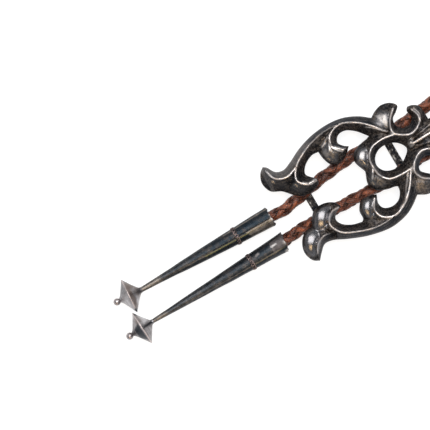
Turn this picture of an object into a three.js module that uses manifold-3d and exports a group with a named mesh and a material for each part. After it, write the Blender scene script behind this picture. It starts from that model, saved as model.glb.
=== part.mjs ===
// A bolo tie lying flat: a cast openwork slide, a braided leather cord through the keepers
// on its back, and two long tapered tips, each ending in a bicone and a small ball.
// Units are millimetres, +Z is up and +Y runs from the tips towards the neck.
// Plan positions are measured from the centre of the slide's ring, and the whole object is
// moved along Y at the end so that the row's origin is under the middle of slide and tips.

import * as THREE from 'three';
import { mergeVertices } from 'three/addons/utils/BufferGeometryUtils.js';
import Module from 'manifold-3d';

const wasm = await Module();
wasm.setup();

// ---- driving dimensions -------------------------------------------------------------

const GAP = 0.3;                 // room between neighbouring pieces
const CORD_DIAMETER = 3.6;
const CORD_RADIUS = CORD_DIAMETER / 2;
const CORD_SIDES = 8;

const KEEPER_THICKNESS = 1.3;
const KEEPER_WIDTH = 2.4;
const KEEPER_FOOT = 1.3;
const CORD_LEVEL = KEEPER_THICKNESS + GAP + CORD_RADIUS;
const CASTING_BACK = CORD_LEVEL + CORD_RADIUS + GAP;
const CASTING_PLATE = 2.1;       // back to the foot of the ridges
const RIDGE_RISE = 2.3;          // foot to crest of a ridge
const RIDGE_HALF_WIDTH = 1.45;
const RIDGE_SINK = 0.4;          // how far ridges and domes reach down into the plate
const CASTING_RIM = CASTING_BACK + CASTING_PLATE;

const CROWN_TOP = 39.9;          // highest point of the slide
const LOWEST_BALL = -98.23;      // lowest point of the longer tip
const ROW_SHIFT_Y = -(CROWN_TOP + LOWEST_BALL) / 2;

const TIP_SIDES = 32;
const MOUTH_RADIUS = 3.15;
const BORE_RADIUS = 2.55;
const BORE_END_RADIUS = 2.1;
const BORE_DEPTH = 14;
const BAND_WIDTH = 1.5;
const BAND_THICKNESS = 0.4;
const BAND_CLEARANCE = 0.1;
const SEAM_HALF = 0.18;          // half thickness of the soldered rim
const SEAM_CLEARANCE = 0.1;
const BALL_RADIUS = 1.15;

const COIL_CENTRE_Y = 95;
const COIL_WIDEST_TURN = 24.2;   // centre line of the outermost turn
const COIL_TIGHTEST_TURN = 15;   // centre line of the innermost turn
const COIL_PITCH = 3.65;         // distance between neighbouring turns
const COIL_INNER = COIL_TIGHTEST_TURN - CORD_RADIUS;
const COIL_OUTER = COIL_WIDEST_TURN + CORD_RADIUS;
const TIE_THICKNESS = 0.5;
const TIE_WIDTH = 4;
const COIL_BOTTOM = TIE_THICKNESS + GAP;
const COIL_TOP = COIL_BOTTOM + COIL_PITCH + CORD_DIAMETER;

// ---- materials ----------------------------------------------------------------------

const darkSilver = new THREE.MeshStandardMaterial({ color: 0x4a4644, roughness: 0.34, metalness: 1 });
const satinSilver = new THREE.MeshStandardMaterial({ color: 0x8b8786, roughness: 0.38, metalness: 1 });
const shaftSilver = new THREE.MeshStandardMaterial({ color: 0x3d4148, roughness: 0.32, metalness: 1 });
const braidLeather = new THREE.MeshStandardMaterial({ color: 0x6a2f1c, roughness: 0.6, metalness: 0 });
const tieLeather = new THREE.MeshStandardMaterial({ color: 0x3a1c12, roughness: 0.7, metalness: 0 });

// ---- shared builders ----------------------------------------------------------------

function named(name, geometry, material) {
  const mesh = new THREE.Mesh(geometry, material);
  mesh.name = name;
  return mesh;
}

function toSolid(geometry) {
  const plain = geometry.clone();
  plain.deleteAttribute('normal');
  plain.deleteAttribute('uv');
  const merged = mergeVertices(plain, 1e-4);
  return new wasm.Manifold(new wasm.Mesh({
    numProp: 3,
    vertProperties: merged.attributes.position.array,
    triVerts: new Uint32Array(merged.index.array),
  }));
}

function toGeometry(solid) {
  const mesh = solid.getMesh();
  const geometry = new THREE.BufferGeometry();
  geometry.setAttribute('position', new THREE.BufferAttribute(mesh.vertProperties, 3));
  geometry.setIndex(new THREE.BufferAttribute(mesh.triVerts, 1));
  return geometry;
}

// A smooth curve through hand-chosen points in a level plane.
function levelCurve(points, z = 0) {
  const path = points.map(([x, y]) => new THREE.Vector3(x, y, z));
  return new THREE.CatmullRomCurve3(path, false, 'centripetal');
}

// Runs of smooth points that meet in corners, joined into one outline.
function outlineOf(runs, stepsPerSpan) {
  const outline = [];
  for (const run of runs) {
    const samples = levelCurve(run).getPoints((run.length - 1) * stepsPerSpan);
    for (const p of samples.slice(0, -1)) {
      outline.push(new THREE.Vector2(p.x, p.y));
    }
  }
  return outline;
}

function lathe(profile, sides) {
  return new THREE.LatheGeometry(profile.map(([r, y]) => new THREE.Vector2(r, y)), sides);
}

// ---- slide casting ------------------------------------------------------------------

// Left half of the silhouette, from the top of the crown down and back up to the bud.
const LEFT_RUNS = [
  [[0, CROWN_TOP], [-2.4, 37], [-3.7, 34], [-3.9, 31.6]],
  [[-3.9, 31.6], [-6.2, 33.4], [-9, 33], [-10.7, 30.6], [-10.2, 27.8], [-8.6, 26.4]],
  [[-8.6, 26.4], [-6.4, 26.6], [-5, 24.6], [-4.4, 21.6], [-4.3, 17.4]],
  [[-4.3, 17.4], [-9, 17.1], [-10.6, 15.2], [-10.9, 13.8]],
  [[-10.9, 13.8], [-10.4, 13.2], [-9.7, 12.9]],
  [[-9.7, 12.9], [-7.3, 13.2], [-5.7, 11.4], [-6, 9], [-8, 7.6], [-10, 8], [-11.3, 9.8],
    [-12.8, 11.2], [-14.6, 9.8], [-15.5, 6.9], [-14.8, 4.3], [-13.6, 2.3]],
  [[-13.6, 2.3], [-16.1, -0.9], [-18.2, -5.5], [-18.9, -10.5], [-18.4, -16.5], [-16.8, -22],
    [-14.6, -26.6], [-13.6, -29.6], [-14.4, -32], [-16.9, -33.6], [-17.7, -34.6]],
  [[-17.7, -34.6], [-16.4, -36.2], [-13.4, -37.4], [-10, -36.4], [-8, -33.2], [-5.3, -30.8]],
  [[-5.3, -30.8], [-3.7, -28.7], [-3.1, -25.6], [-4.2, -22.5], [-5.6, -21.6]],
  [[-5.6, -21.6], [-6.9, -22.8], [-9, -24.3], [-11.3, -22.9], [-13, -19.6], [-12.9, -17.3]],
  [[-12.9, -17.3], [-10.2, -17], [-7.6, -15.9], [-6.6, -13.6], [-7.2, -11], [-9.6, -8.2]],
  [[-9.6, -8.2], [-10.7, -9.7], [-12.4, -10.7], [-14.2, -9.4], [-14.4, -6.9], [-12.6, -4.1],
    [-9.1, -1.2]],
  [[-9.1, -1.2], [-8.5, -3.2], [-8, -6], [-6.6, -8.2], [-4.4, -9.1], [-0.2, -7.8]],
];

// Right half, from the bud back up to the top of the crown. The casting was carved by
// hand, so the two halves differ a little.
const RIGHT_RUNS = [
  [[-0.2, -7.8], [3.8, -9.1], [6.4, -7.9], [8, -5], [8.6, -2.2], [9, -1.4]],
  [[9, -1.4], [10.6, -1.7], [12.7, -3.4], [13.4, -6], [12.4, -8.7], [10.4, -9.4], [7.7, -8.4]],
  [[7.7, -8.4], [6.8, -11], [6.9, -13.5], [9.4, -15.6], [12.2, -15.9], [12.8, -16.6]],
  [[12.8, -16.6], [11.9, -19.8], [9.9, -22.6], [7.9, -23.35], [6.2, -22.1], [5.2, -19.8]],
  [[5.2, -19.8], [3.1, -21.1], [1.7, -24.2], [2.1, -27.8], [6.1, -31]],
  [[6.1, -31], [6.5, -33.6], [8.6, -35.9], [12, -37], [15.3, -35.9], [16.5, -34.1]],
  [[16.5, -34.1], [14.3, -32.1], [12.8, -30.2], [13, -27.6], [15, -23.4], [17.3, -17.8],
    [18.7, -12], [18.9, -8.3], [17.9, -3.4], [16.3, -0.3], [14.3, 2.4]],
  [[14.3, 2.4], [15.8, 5.4], [15.7, 8.8], [13.9, 11], [12.2, 11], [10.4, 8.9], [8.2, 7],
    [6.2, 8], [5.2, 10.4], [6.3, 12.8], [9.6, 13]],
  [[9.6, 13], [10.4, 13.2], [10.9, 13.8]],
  [[10.9, 13.8], [10.6, 15.2], [9, 17.1], [4.2, 17.4]],
  [[4.2, 17.4], [4.4, 21.6], [5, 24.6], [6.4, 26.6], [8.6, 26.4]],
  [[8.6, 26.4], [10.2, 27.8], [10.7, 30.6], [9, 33], [6.2, 33.4], [3.9, 31.6]],
  [[3.9, 31.6], [3.7, 34], [2.4, 37], [0, CROWN_TOP]],
];

const RING_OPENING = [
  [[0.2, 7], [2.2, 5.3], [3.7, 2.4], [3.5, -0.8], [2.2, -2.9], [0, -3.8], [-2.3, -3],
    [-3.9, -0.8], [-4.1, 2.4], [-2.6, 5.5], [0.2, 7]],
];

// Crest lines of the raised ridges.
const RIDGES = [
  [[-5.6, 5.4], [-6.2, 1.5], [-5.5, -2.7], [-3, -4.9], [0, -5.2], [3, -4.8], [5.5, -2.7],
    [6.2, 0.8], [6.2, 4.9]],
  [[-9.6, 14.2], [-7, 14.9], [-4.6, 13.9], [-3.1, 10.4], [-4.2, 7.6], [-6.2, 5.5], [-9.4, 6.3],
    [-12.6, 9.4]],
  [[9.6, 14.2], [7, 14.9], [4.6, 13.9], [3.1, 10.4], [4.5, 7.2], [7.3, 5.2], [10, 6],
    [12.4, 9]],
  [[-7.4, 4.3], [-11, 1.3], [-14.6, -2.5], [-16.9, -7.5], [-15.7, -11.4], [-12.2, -13.1],
    [-9.8, -11.5], [-9.5, -9.6]],
  [[6.6, 4.4], [11, 1.2], [14.4, -2.5], [16.1, -7], [14.5, -10.6], [11.4, -11.6], [8.4, -9.7]],
  [[-17.1, -10], [-17.1, -15], [-15.4, -20.7], [-12.1, -26], [-8.6, -27.7], [-5.7, -25],
    [-5.7, -22.4]],
  [[16.4, -9.5], [16.3, -14], [14.7, -19.2], [11.9, -24.2], [8, -25.8], [5.2, -23.4],
    [5.1, -20.8]],
  [[-12, -26.4], [-11.2, -29.8], [-12.7, -33.3], [-16.2, -34.5]],
  [[10.9, -26], [10.4, -29.4], [12, -32.5], [15.2, -34]],
  [[-0.2, 9.4], [-0.3, 15.5], [0, 26], [0, 37]],
  [[-1.4, 10], [-2.4, 15.5], [-3.2, 22.5], [-4.8, 28.4], [-7.8, 30.4]],
  [[1.1, 10], [2.1, 14.8], [3.1, 22.5], [4.8, 28.4], [7.8, 30.4]],
];

// Swollen lobes: centre x, centre y, half length, half width, turn in degrees.
const LOBES = [
  [-4.6, -6.4, 2.9, 1.9, -35],
  [4.4, -6.7, 3, 1.9, 30],
  [-10.6, -14.6, 3.3, 1.8, -8],
  [9.6, -13.6, 3, 1.8, -25],
  [-5.2, -28.2, 2.8, 1.7, 55],
  [4.4, -27, 3.4, 2.2, -50],
  [-10.6, -34.2, 4, 2.3, 30],
  [9.8, -33.4, 4, 2.5, -35],
  [-12.8, 6, 2.9, 1.9, 60],
  [12.9, 6, 2.6, 1.8, -60],
];

function castingPlate() {
  const shape = new THREE.Shape(outlineOf([...LEFT_RUNS, ...RIGHT_RUNS], 3));
  shape.holes.push(new THREE.Path(outlineOf(RING_OPENING, 3)));
  const plate = new THREE.ExtrudeGeometry(shape, { depth: CASTING_PLATE, bevelEnabled: false });
  plate.translate(0, 0, CASTING_BACK);
  return plate;
}

function ridge(points) {
  const section = new THREE.Shape();
  section.moveTo(RIDGE_SINK, -RIDGE_HALF_WIDTH);
  section.lineTo(RIDGE_SINK, RIDGE_HALF_WIDTH);
  section.lineTo(0, RIDGE_HALF_WIDTH);
  section.lineTo(-RIDGE_RISE, 0);
  section.lineTo(0, -RIDGE_HALF_WIDTH);
  return new THREE.ExtrudeGeometry(section, {
    steps: (points.length - 1) * 3,
    extrudePath: levelCurve(points, CASTING_RIM),
  });
}

function lobe([x, y, halfLength, halfWidth, turn]) {
  const dome = new THREE.SphereGeometry(1, 14, 8);
  dome.scale(halfLength, halfWidth, RIDGE_RISE * 0.7);
  dome.rotateZ(THREE.MathUtils.degToRad(turn));
  dome.translate(x, y, CASTING_RIM - RIDGE_SINK / 2);
  return dome;
}

function makeCasting() {
  let solid = toSolid(castingPlate());
  for (const points of RIDGES) {
    solid = solid.add(toSolid(ridge(points)));
  }
  for (const place of LOBES) {
    solid = solid.add(toSolid(lobe(place)));
  }
  return named('slide_casting', toGeometry(solid), darkSilver);
}

// A flat strip bent up at both ends, soldered across the back, which the cord runs over.
function makeKeeper(name, middleX, middleY, footSpan) {
  const half = footSpan / 2;
  const inner = half - KEEPER_FOOT;
  const top = CASTING_BACK - GAP;
  const profile = new THREE.Shape();
  profile.moveTo(-half, 0);
  profile.lineTo(half, 0);
  profile.lineTo(half, top);
  profile.lineTo(inner, top);
  profile.lineTo(inner, KEEPER_THICKNESS);
  profile.lineTo(-inner, KEEPER_THICKNESS);
  profile.lineTo(-inner, top);
  profile.lineTo(-half, top);
  const strip = new THREE.ExtrudeGeometry(profile, { depth: KEEPER_WIDTH, bevelEnabled: false });
  strip.translate(0, 0, -KEEPER_WIDTH / 2);
  strip.rotateX(Math.PI / 2);
  const mesh = named(name, strip, darkSilver);
  mesh.position.set(middleX, middleY, 0);
  return mesh;
}

function makeSlide() {
  const slide = new THREE.Group();
  slide.add(makeCasting());
  slide.add(makeKeeper('keeper_upper', -0.6, 3.1, 24.6));
  slide.add(makeKeeper('keeper_lower', -0.4, -26.8, 19.8));
  return slide;
}

// ---- tips ---------------------------------------------------------------------------

// Each tip is turned about its own axis, with the mouth at y = 0 and the ball at the far end.
const TIPS = [
  {
    side: 'left', mouth: [-3.2, -40.3], yaw: -1.15, shaft: 46.4, endRadius: 0.8,
    bicone: 6.9, rim: 5.65, lean: -3,
  },
  {
    side: 'right', mouth: [5.85, -40.4], yaw: 0.35, shaft: 48.3, endRadius: 0.65,
    bicone: 6.9, rim: 5.6, lean: 1.8,
  },
];
const BAND_FROM_MOUTH = 12.4;

function shaftRadiusAt(tip, distance) {
  return THREE.MathUtils.lerp(MOUTH_RADIUS, tip.endRadius, distance / tip.shaft);
}

function makeShaft(tip) {
  const profile = [
    [0, -tip.shaft],
    [tip.endRadius, -tip.shaft],
    [MOUTH_RADIUS, 0],
    [BORE_RADIUS, 0],
    [BORE_END_RADIUS, -BORE_DEPTH],
    [0, -BORE_DEPTH],
  ];
  return named(`tip_${tip.side}_shaft`, lathe(profile, TIP_SIDES), shaftSilver);
}

function makeBand(tip) {
  const nearInner = shaftRadiusAt(tip, BAND_FROM_MOUTH - BAND_WIDTH / 2) + BAND_CLEARANCE;
  const farInner = shaftRadiusAt(tip, BAND_FROM_MOUTH + BAND_WIDTH / 2) + BAND_CLEARANCE;
  const crown = BAND_THICKNESS + (nearInner + farInner) / 2;
  const near = -BAND_FROM_MOUTH + BAND_WIDTH / 2;
  const far = -BAND_FROM_MOUTH - BAND_WIDTH / 2;
  const profile = [
    [farInner, far],
    [crown, far + BAND_WIDTH / 4],
    [crown, near - BAND_WIDTH / 4],
    [nearInner, near],
    [farInner, far],
  ];
  return named(`tip_${tip.side}_band`, lathe(profile, TIP_SIDES), shaftSilver);
}

function makeBicone(tip) {
  const top = -tip.shaft - GAP;
  const rimAt = top - tip.bicone / 2;
  const bottom = top - tip.bicone;
  const coneFoot = SEAM_HALF + SEAM_CLEARANCE;
  const coneRadius = tip.rim - SEAM_CLEARANCE;
  const neck = tip.endRadius + 0.2;
  const upper = [[0, rimAt + coneFoot], [coneRadius, rimAt + coneFoot], [neck, top], [0, top]];
  const lower = [[0, bottom], [neck, bottom], [coneRadius, rimAt - coneFoot], [0, rimAt - coneFoot]];
  const seam = [
    [0, rimAt - SEAM_HALF],
    [tip.rim - SEAM_HALF, rimAt - SEAM_HALF],
    [tip.rim, rimAt],
    [tip.rim - SEAM_HALF, rimAt + SEAM_HALF],
    [0, rimAt + SEAM_HALF],
  ];
  const ball = new THREE.SphereGeometry(BALL_RADIUS, 20, 14);
  ball.translate(0, bottom - BALL_RADIUS - SEAM_CLEARANCE, 0);
  const pieces = [
    named(`tip_${tip.side}_cone_upper`, lathe(upper, TIP_SIDES), satinSilver),
    named(`tip_${tip.side}_seam`, lathe(seam, TIP_SIDES), satinSilver),
    named(`tip_${tip.side}_cone_lower`, lathe(lower, TIP_SIDES), satinSilver),
    named(`tip_${tip.side}_ball`, ball, satinSilver),
  ];
  const bicone = new THREE.Group();
  for (const piece of pieces) {
    piece.position.y = -top;
    bicone.add(piece);
  }
  bicone.position.y = top;
  bicone.rotation.z = THREE.MathUtils.degToRad(tip.lean);
  return bicone;
}

// The glued end of the cord inside the shaft, set back so that the tip can swing.
function makeCordEnd(tip) {
  const setBack = 2.2;
  const length = 10;
  const plug = new THREE.CylinderGeometry(CORD_RADIUS, CORD_RADIUS, length, CORD_SIDES * 2);
  plug.translate(0, -setBack - length / 2, 0);
  return named(`tip_${tip.side}_cord_end`, plug, braidLeather);
}

// The tip lies on its bicone's rim and on the edge of its mouth.
function makeTip(tip) {
  const rimDistance = tip.shaft + GAP + tip.bicone / 2;
  const pitch = Math.asin((tip.rim - MOUTH_RADIUS) / rimDistance);
  const group = new THREE.Group();
  group.add(makeShaft(tip));
  group.add(makeBand(tip));
  group.add(makeBicone(tip));
  group.add(makeCordEnd(tip));
  group.rotation.set(-pitch, 0, THREE.MathUtils.degToRad(tip.yaw), 'ZXY');
  group.position.set(tip.mouth[0], tip.mouth[1], MOUTH_RADIUS * Math.cos(pitch));
  return group;
}

// ---- cord ---------------------------------------------------------------------------

// Hand-chosen route of each leg, from the mouth of its tip up to the coil.
const LEFT_LEG = [
  [-3.2, -41.2, 3.15], [-2.95, -36.5, 3.25], [-3.5, -31.5, 3.35], [-4.4, -26.3, CORD_LEVEL],
  [-5.3, -20.5, CORD_LEVEL], [-5.9, -15, CORD_LEVEL], [-6.4, -9, CORD_LEVEL],
  [-6.7, 0, CORD_LEVEL], [-6.9, 9, CORD_LEVEL], [-7.6, 15, CORD_LEVEL],
  [-8.1, 20, CORD_LEVEL], [-8.3, 28, CORD_LEVEL], [-8.4, 35, 3.2], [-9, 45, 2.4],
  [-10.6, 54, 1.9], [-14, 65, 1.85], [-18.6, 75, 2], [-22.4, 85, 2.4], [-24.2, 95, 2.6],
];
const RIGHT_LEG = [
  [5.85, -41.3, 3.15], [5.2, -36.5, 3.25], [5.1, -31.5, 3.35], [5.1, -26.3, CORD_LEVEL],
  [5.2, -20.5, CORD_LEVEL], [5.5, -15, CORD_LEVEL], [5.8, -9, CORD_LEVEL],
  [5.7, 0, CORD_LEVEL], [5.1, 8, CORD_LEVEL], [4.9, 14, CORD_LEVEL], [5.3, 20, CORD_LEVEL],
  [6.2, 28, CORD_LEVEL], [7.2, 35, 3.2], [8.6, 45, 2.4], [10.8, 54, 1.9], [14.6, 64, 1.85],
  [18.8, 72, 2.2], [22, 79.5, 3.5], [23.8, 87.5, 5.6], [24.2, 95, 6.25],
];

function cordTube(route) {
  const section = new THREE.Shape();
  const corner = Math.PI / CORD_SIDES;
  for (let side = 0; side < CORD_SIDES; side += 1) {
    const angle = corner + side * 2 * corner;
    const x = CORD_RADIUS * Math.cos(angle);
    const y = CORD_RADIUS * Math.sin(angle);
    if (side === 0) section.moveTo(x, y);
    else section.lineTo(x, y);
  }
  const points = route.map(([x, y, z]) => new THREE.Vector3(x, y, z));
  const path = new THREE.CatmullRomCurve3(points, false, 'centripetal');
  const steps = Math.round(path.getLength() / (2.5 * CORD_DIAMETER)) * 2;
  return new THREE.ExtrudeGeometry(section, { steps, extrudePath: path });
}

function ring(inner, outer, bottom, top) {
  const bevel = CORD_RADIUS * 0.6;
  const profile = [
    [inner, bottom + bevel],
    [inner + bevel, bottom],
    [outer - bevel, bottom],
    [outer, bottom + bevel],
    [outer, top - bevel],
    [outer - bevel, top],
    [inner + bevel, top],
    [inner, top - bevel],
    [inner, bottom + bevel],
  ];
  const geometry = lathe(profile, 48);
  geometry.rotateX(Math.PI / 2);
  geometry.translate(0, COIL_CENTRE_Y, 0);
  return geometry;
}

function makeLeg(name, route) {
  const room = ring(COIL_INNER - GAP, COIL_OUTER + GAP, COIL_BOTTOM - 2 * GAP, COIL_TOP + GAP);
  const cut = toSolid(cordTube(route)).subtract(toSolid(room));
  return named(name, toGeometry(cut), braidLeather);
}

function makeCoil() {
  return named('cord_coil', ring(COIL_INNER, COIL_OUTER, COIL_BOTTOM, COIL_TOP), braidLeather);
}

// A leather strip round the far side of the coil.
function makeTie() {
  const innerHalf = (COIL_OUTER - COIL_INNER) / 2 + GAP;
  const outerHalf = innerHalf + TIE_THICKNESS;
  const low = COIL_BOTTOM - GAP;
  const high = COIL_TOP + GAP;
  const strip = new THREE.Shape();
  strip.moveTo(-outerHalf, low - TIE_THICKNESS);
  strip.lineTo(outerHalf, low - TIE_THICKNESS);
  strip.lineTo(outerHalf, high + TIE_THICKNESS);
  strip.lineTo(-outerHalf, high + TIE_THICKNESS);
  const inside = new THREE.Path();
  inside.moveTo(-innerHalf, low);
  inside.lineTo(-innerHalf, high);
  inside.lineTo(innerHalf, high);
  inside.lineTo(innerHalf, low);
  strip.holes.push(inside);
  const band = new THREE.ExtrudeGeometry(strip, { depth: TIE_WIDTH, bevelEnabled: false });
  band.translate(0, 0, -TIE_WIDTH / 2);
  band.rotateX(Math.PI / 2);
  band.rotateZ(Math.PI / 2);
  const mesh = named('coil_tie', band, tieLeather);
  mesh.position.set(0, COIL_CENTRE_Y + (COIL_OUTER + COIL_INNER) / 2, 0);
  return mesh;
}

// ---- whole object -------------------------------------------------------------------

const boloTie = new THREE.Group();
boloTie.add(makeSlide());
for (const tip of TIPS) {
  boloTie.add(makeTip(tip));
}
boloTie.add(makeLeg('cord_left_leg', LEFT_LEG));
boloTie.add(makeLeg('cord_right_leg', RIGHT_LEG));
boloTie.add(makeCoil());
boloTie.add(makeTie());
boloTie.position.y = ROW_SHIFT_Y;

export default boloTie;
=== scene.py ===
"""The visual model of a bolo tie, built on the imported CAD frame. Run by Blender 4.5."""
import math

import bpy
import numpy as np
from mathutils import Matrix, Vector, noise
from mathutils.geometry import delaunay_2d_cdt
from mathutils.kdtree import KDTree


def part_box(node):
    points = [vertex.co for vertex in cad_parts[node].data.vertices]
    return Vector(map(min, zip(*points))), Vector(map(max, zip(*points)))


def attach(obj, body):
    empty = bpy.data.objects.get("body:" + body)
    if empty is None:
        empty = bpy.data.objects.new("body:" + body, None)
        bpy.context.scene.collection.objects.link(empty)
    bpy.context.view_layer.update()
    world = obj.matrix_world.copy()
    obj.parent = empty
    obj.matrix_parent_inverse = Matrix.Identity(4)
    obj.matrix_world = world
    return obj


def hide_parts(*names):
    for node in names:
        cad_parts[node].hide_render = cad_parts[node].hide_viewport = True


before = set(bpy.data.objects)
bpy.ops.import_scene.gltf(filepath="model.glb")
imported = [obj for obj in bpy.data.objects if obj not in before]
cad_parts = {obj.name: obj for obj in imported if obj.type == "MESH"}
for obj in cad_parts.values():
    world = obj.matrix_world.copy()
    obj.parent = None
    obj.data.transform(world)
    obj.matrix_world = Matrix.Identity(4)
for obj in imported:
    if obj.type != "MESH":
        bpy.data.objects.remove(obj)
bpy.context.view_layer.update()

# ---- driving values -----------------------------------------------------------------
# Shapes are worked out in millimetres from the centre of the slide's ring, as in the CAD,
# and moved into the row frame, in metres, when a mesh is made.

MM = 0.001
CROWN_TOP = 39.9
casting_low, casting_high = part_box("slide_casting")
RING_Y = casting_high[1] - CROWN_TOP * MM
CASTING_BACK = casting_low[2] / MM
CREST_TOP = casting_high[2] / MM
EDGE_HEIGHT = CASTING_BACK + 1.35
GAP = 0.3                    # room between a shaft and its bicone

COIL_CENTRE_Y = 95
COIL_WIDEST_TURN = 24.2
COIL_TIGHTEST_TURN = 15
COIL_PITCH = 3.65

# Each tip has a mouth, cut a little slanting, then a shaft with its length and end radius,
# how far the seam is from the top line, its swelling and its greyness, then a bicone with its
# length, rim radius, how far the rim is below the middle, its lean and the rim's wear.
TIPS = [
    {"body": "tip_left", "seed": 3, "mouth": (-3.2, -40.3), "yaw": -1.15, "cut": 0.1,
     "shaft": 46.4, "end": 0.8, "seam": 0.55, "swell": 0.2, "aged": 0.0,
     "bicone": 6.9, "rim": 5.65, "rim_drop": 0.5, "lean": -3, "rim_wear": 0.8},
    {"body": "tip_right", "seed": 8, "mouth": (5.85, -40.4), "yaw": 0.35, "cut": -0.4,
     "shaft": 48.3, "end": 0.65, "seam": 1.2, "swell": 0, "aged": 0.1,
     "bicone": 6.9, "rim": 5.6, "rim_drop": 0.1, "lean": 1.8, "rim_wear": 1.0},
]
MOUTH_RADIUS = 3.15
BORE_RADIUS = 2.55
BORE_DEPTH = 14
BAND_FROM_MOUTH = 12.4
PICTURE_TILT = 30.7          # degrees from the picture's width up to the tie's axis


# ---- shared helpers -----------------------------------------------------------------

def smooth_curve(points, step, closed=False):
    """Centripetal Catmull-Rom curve through the points, sampled about every step."""
    p = np.array(points, float)
    before, after = (p[-2], p[1]) if closed else (2 * p[0] - p[1], 2 * p[-1] - p[-2])
    p = np.vstack([before, p, after])
    samples = []
    for i in range(1, len(p) - 2):
        a, b, c, d = p[i - 1:i + 3]
        k0, k1, k2 = (max(np.linalg.norm(v) ** 0.5, 1e-6) for v in (b - a, c - b, d - c))
        m1 = ((b - a) / k0 - (c - a) / (k0 + k1) + (c - b) / k1) * k1
        m2 = ((c - b) / k1 - (d - b) / (k1 + k2) + (d - c) / k2) * k1
        count = max(1, round(np.linalg.norm(c - b) / step))
        t = (np.arange(count) / count)[:, None]
        samples.append(
            (2 * t**3 - 3 * t**2 + 1) * b + (t**3 - 2 * t**2 + t) * m1
            + (3 * t**2 - 2 * t**3) * c + (t**3 - t**2) * m2
        )
    samples.append(p[-2:-1])
    return np.vstack(samples)


def outline_of(runs, step):
    """A closed outline of smooth runs: each goes on to a corner, the next one's first point."""
    round_all_over = len(runs) == 1
    return np.vstack([smooth_curve(run + following[:1], step, round_all_over)[:-1]
                      for run, following in zip(runs, runs[1:] + runs[:1])])


def unit(vectors):
    """Each row scaled to length 1."""
    return vectors / np.linalg.norm(vectors, axis=1)[:, None]


def tangents_round(loop):
    """Unit tangents at the points of a closed loop."""
    return unit(np.roll(loop, -1, axis=0) - np.roll(loop, 1, axis=0))


def travel_along(line):
    """Distance from the line's start at each of its points."""
    return np.concatenate([[0], np.cumsum(np.linalg.norm(np.diff(line, axis=0), axis=1))])


def smooth_step(low, high, value):
    t = np.clip((value - low) / (high - low), 0, 1)
    return t * t * (3 - 2 * t)


def wobble(x, y, z, scale, seed):
    """Smooth noise between about -1 and 1."""
    return noise.noise(Vector((x / scale + seed * 7.3, y / scale - seed * 3.1, z / scale)))


def wobble_round(radius, along, angle, scale, seed):
    """The same on a circle about the Y axis."""
    return wobble(math.cos(angle) * radius, along, math.sin(angle) * radius, scale, seed)


def painted(points, patches):
    """The strongest patch at each point, with a soft edge."""
    strength = np.zeros(len(points))
    for corners, value, blur in patches:
        least = np.full(len(points), 1e3)
        for (x1, y1), (x2, y2) in zip(corners, corners[1:] + corners[:1]):
            length = math.hypot(x2 - x1, y2 - y1)
            gap = ((x2 - x1) * (points[:, 1] - y1) - (y2 - y1) * (points[:, 0] - x1)) / length
            least = np.minimum(least, -gap)
        strength = np.maximum(strength, smooth_step(-blur, blur, least) * value)
    return strength


def plan_box(node):
    """A CAD node's lowest and highest corner, in millimetres from the ring's centre."""
    return [(np.array(corner) - (0, RING_Y, 0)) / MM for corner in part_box(node)]


def add_to_scene(name, data):
    thing = bpy.data.objects.new(name, data)
    bpy.context.scene.collection.objects.link(thing)
    return thing


def make_object(name, vertices_mm, faces, material, body, replaced, sharp=None):
    """A smooth mesh object in the row frame that rides on a body in place of CAD nodes.

    Edges where it turns by more than sharp, in degrees, stay sharp.
    """
    mesh = bpy.data.meshes.new(name)
    vertices = np.asarray(vertices_mm, float) * MM
    vertices[:, 1] += RING_Y
    mesh.from_pydata(vertices.tolist(), [], [tuple(int(i) for i in f) for f in faces])
    mesh.polygons.foreach_set("use_smooth", [True] * len(mesh.polygons))
    mesh.materials.append(material)
    mesh.update()
    if sharp is not None:
        mesh.set_sharp_from_angle(angle=math.radians(sharp))
    piece = add_to_scene(name, mesh)
    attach(piece, body)
    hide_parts(*replaced)
    return piece


def add_attributes(piece, values):
    for name, numbers in values.items():
        attribute = piece.data.attributes.new(name, "FLOAT", "POINT")
        attribute.data.foreach_set("value", np.asarray(numbers, np.float32))


def grid_faces(rows, columns, start=0, ring=False):
    """Quads between closed rows of points; in a ring the last row meets the first again."""
    faces = []
    for r in range(rows if ring else rows - 1):
        row = start + r * columns
        next_row = start + (r + 1) % rows * columns
        for c in range(columns):
            after = (c + 1) % columns
            faces.append((row + c, row + after, next_row + after, next_row + c))
    return faces


def tube_faces(rows, columns, start=0):
    """The same, with both ends closed."""
    last = start + (rows - 1) * columns
    ends = [range(start, start + columns), range(last + columns - 1, last - 1, -1)]
    return grid_faces(rows, columns, start) + ends


def looped_tubes(loops, outwards, half_width, half_height, sides):
    """Thin tubes round closed loops of centres, their height in the outward directions."""
    vertices, faces = [], []
    for number, (loop, outward) in enumerate(zip(loops, outwards)):
        sideways = np.cross(tangents_round(loop), outward)
        rings = []
        for k in range(sides):
            a = 2 * math.pi * k / sides
            rings.append(loop + sideways * half_width * math.cos(a)
                         + outward * half_height * math.sin(a))
        vertices.append(np.stack(rings, axis=1).reshape(-1, 3))
        faces += grid_faces(len(loop), sides, number * len(loop) * sides, ring=True)
    return np.vstack(vertices), faces


# ---- camera -------------------------------------------------------------------------

def make_camera():
    """Looks straight down on the lower part of the tie."""
    picture_width = 0.1336
    face_height = 0.008
    middle = (-12.44 * MM, RING_Y - 54.98 * MM)
    data = bpy.data.cameras.new("camera")
    data.lens = 200
    data.sensor_width = 36
    data.clip_end = 20
    camera = add_to_scene("camera", data)
    distance = picture_width * data.lens / data.sensor_width
    camera.location = (*middle, distance + face_height)
    camera.rotation_euler = (0, 0, math.radians(90 - PICTURE_TILT))
    bpy.context.scene.camera = camera


# ---- materials ----------------------------------------------------------------------

def grey(value):
    return (value, value, value)


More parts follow.
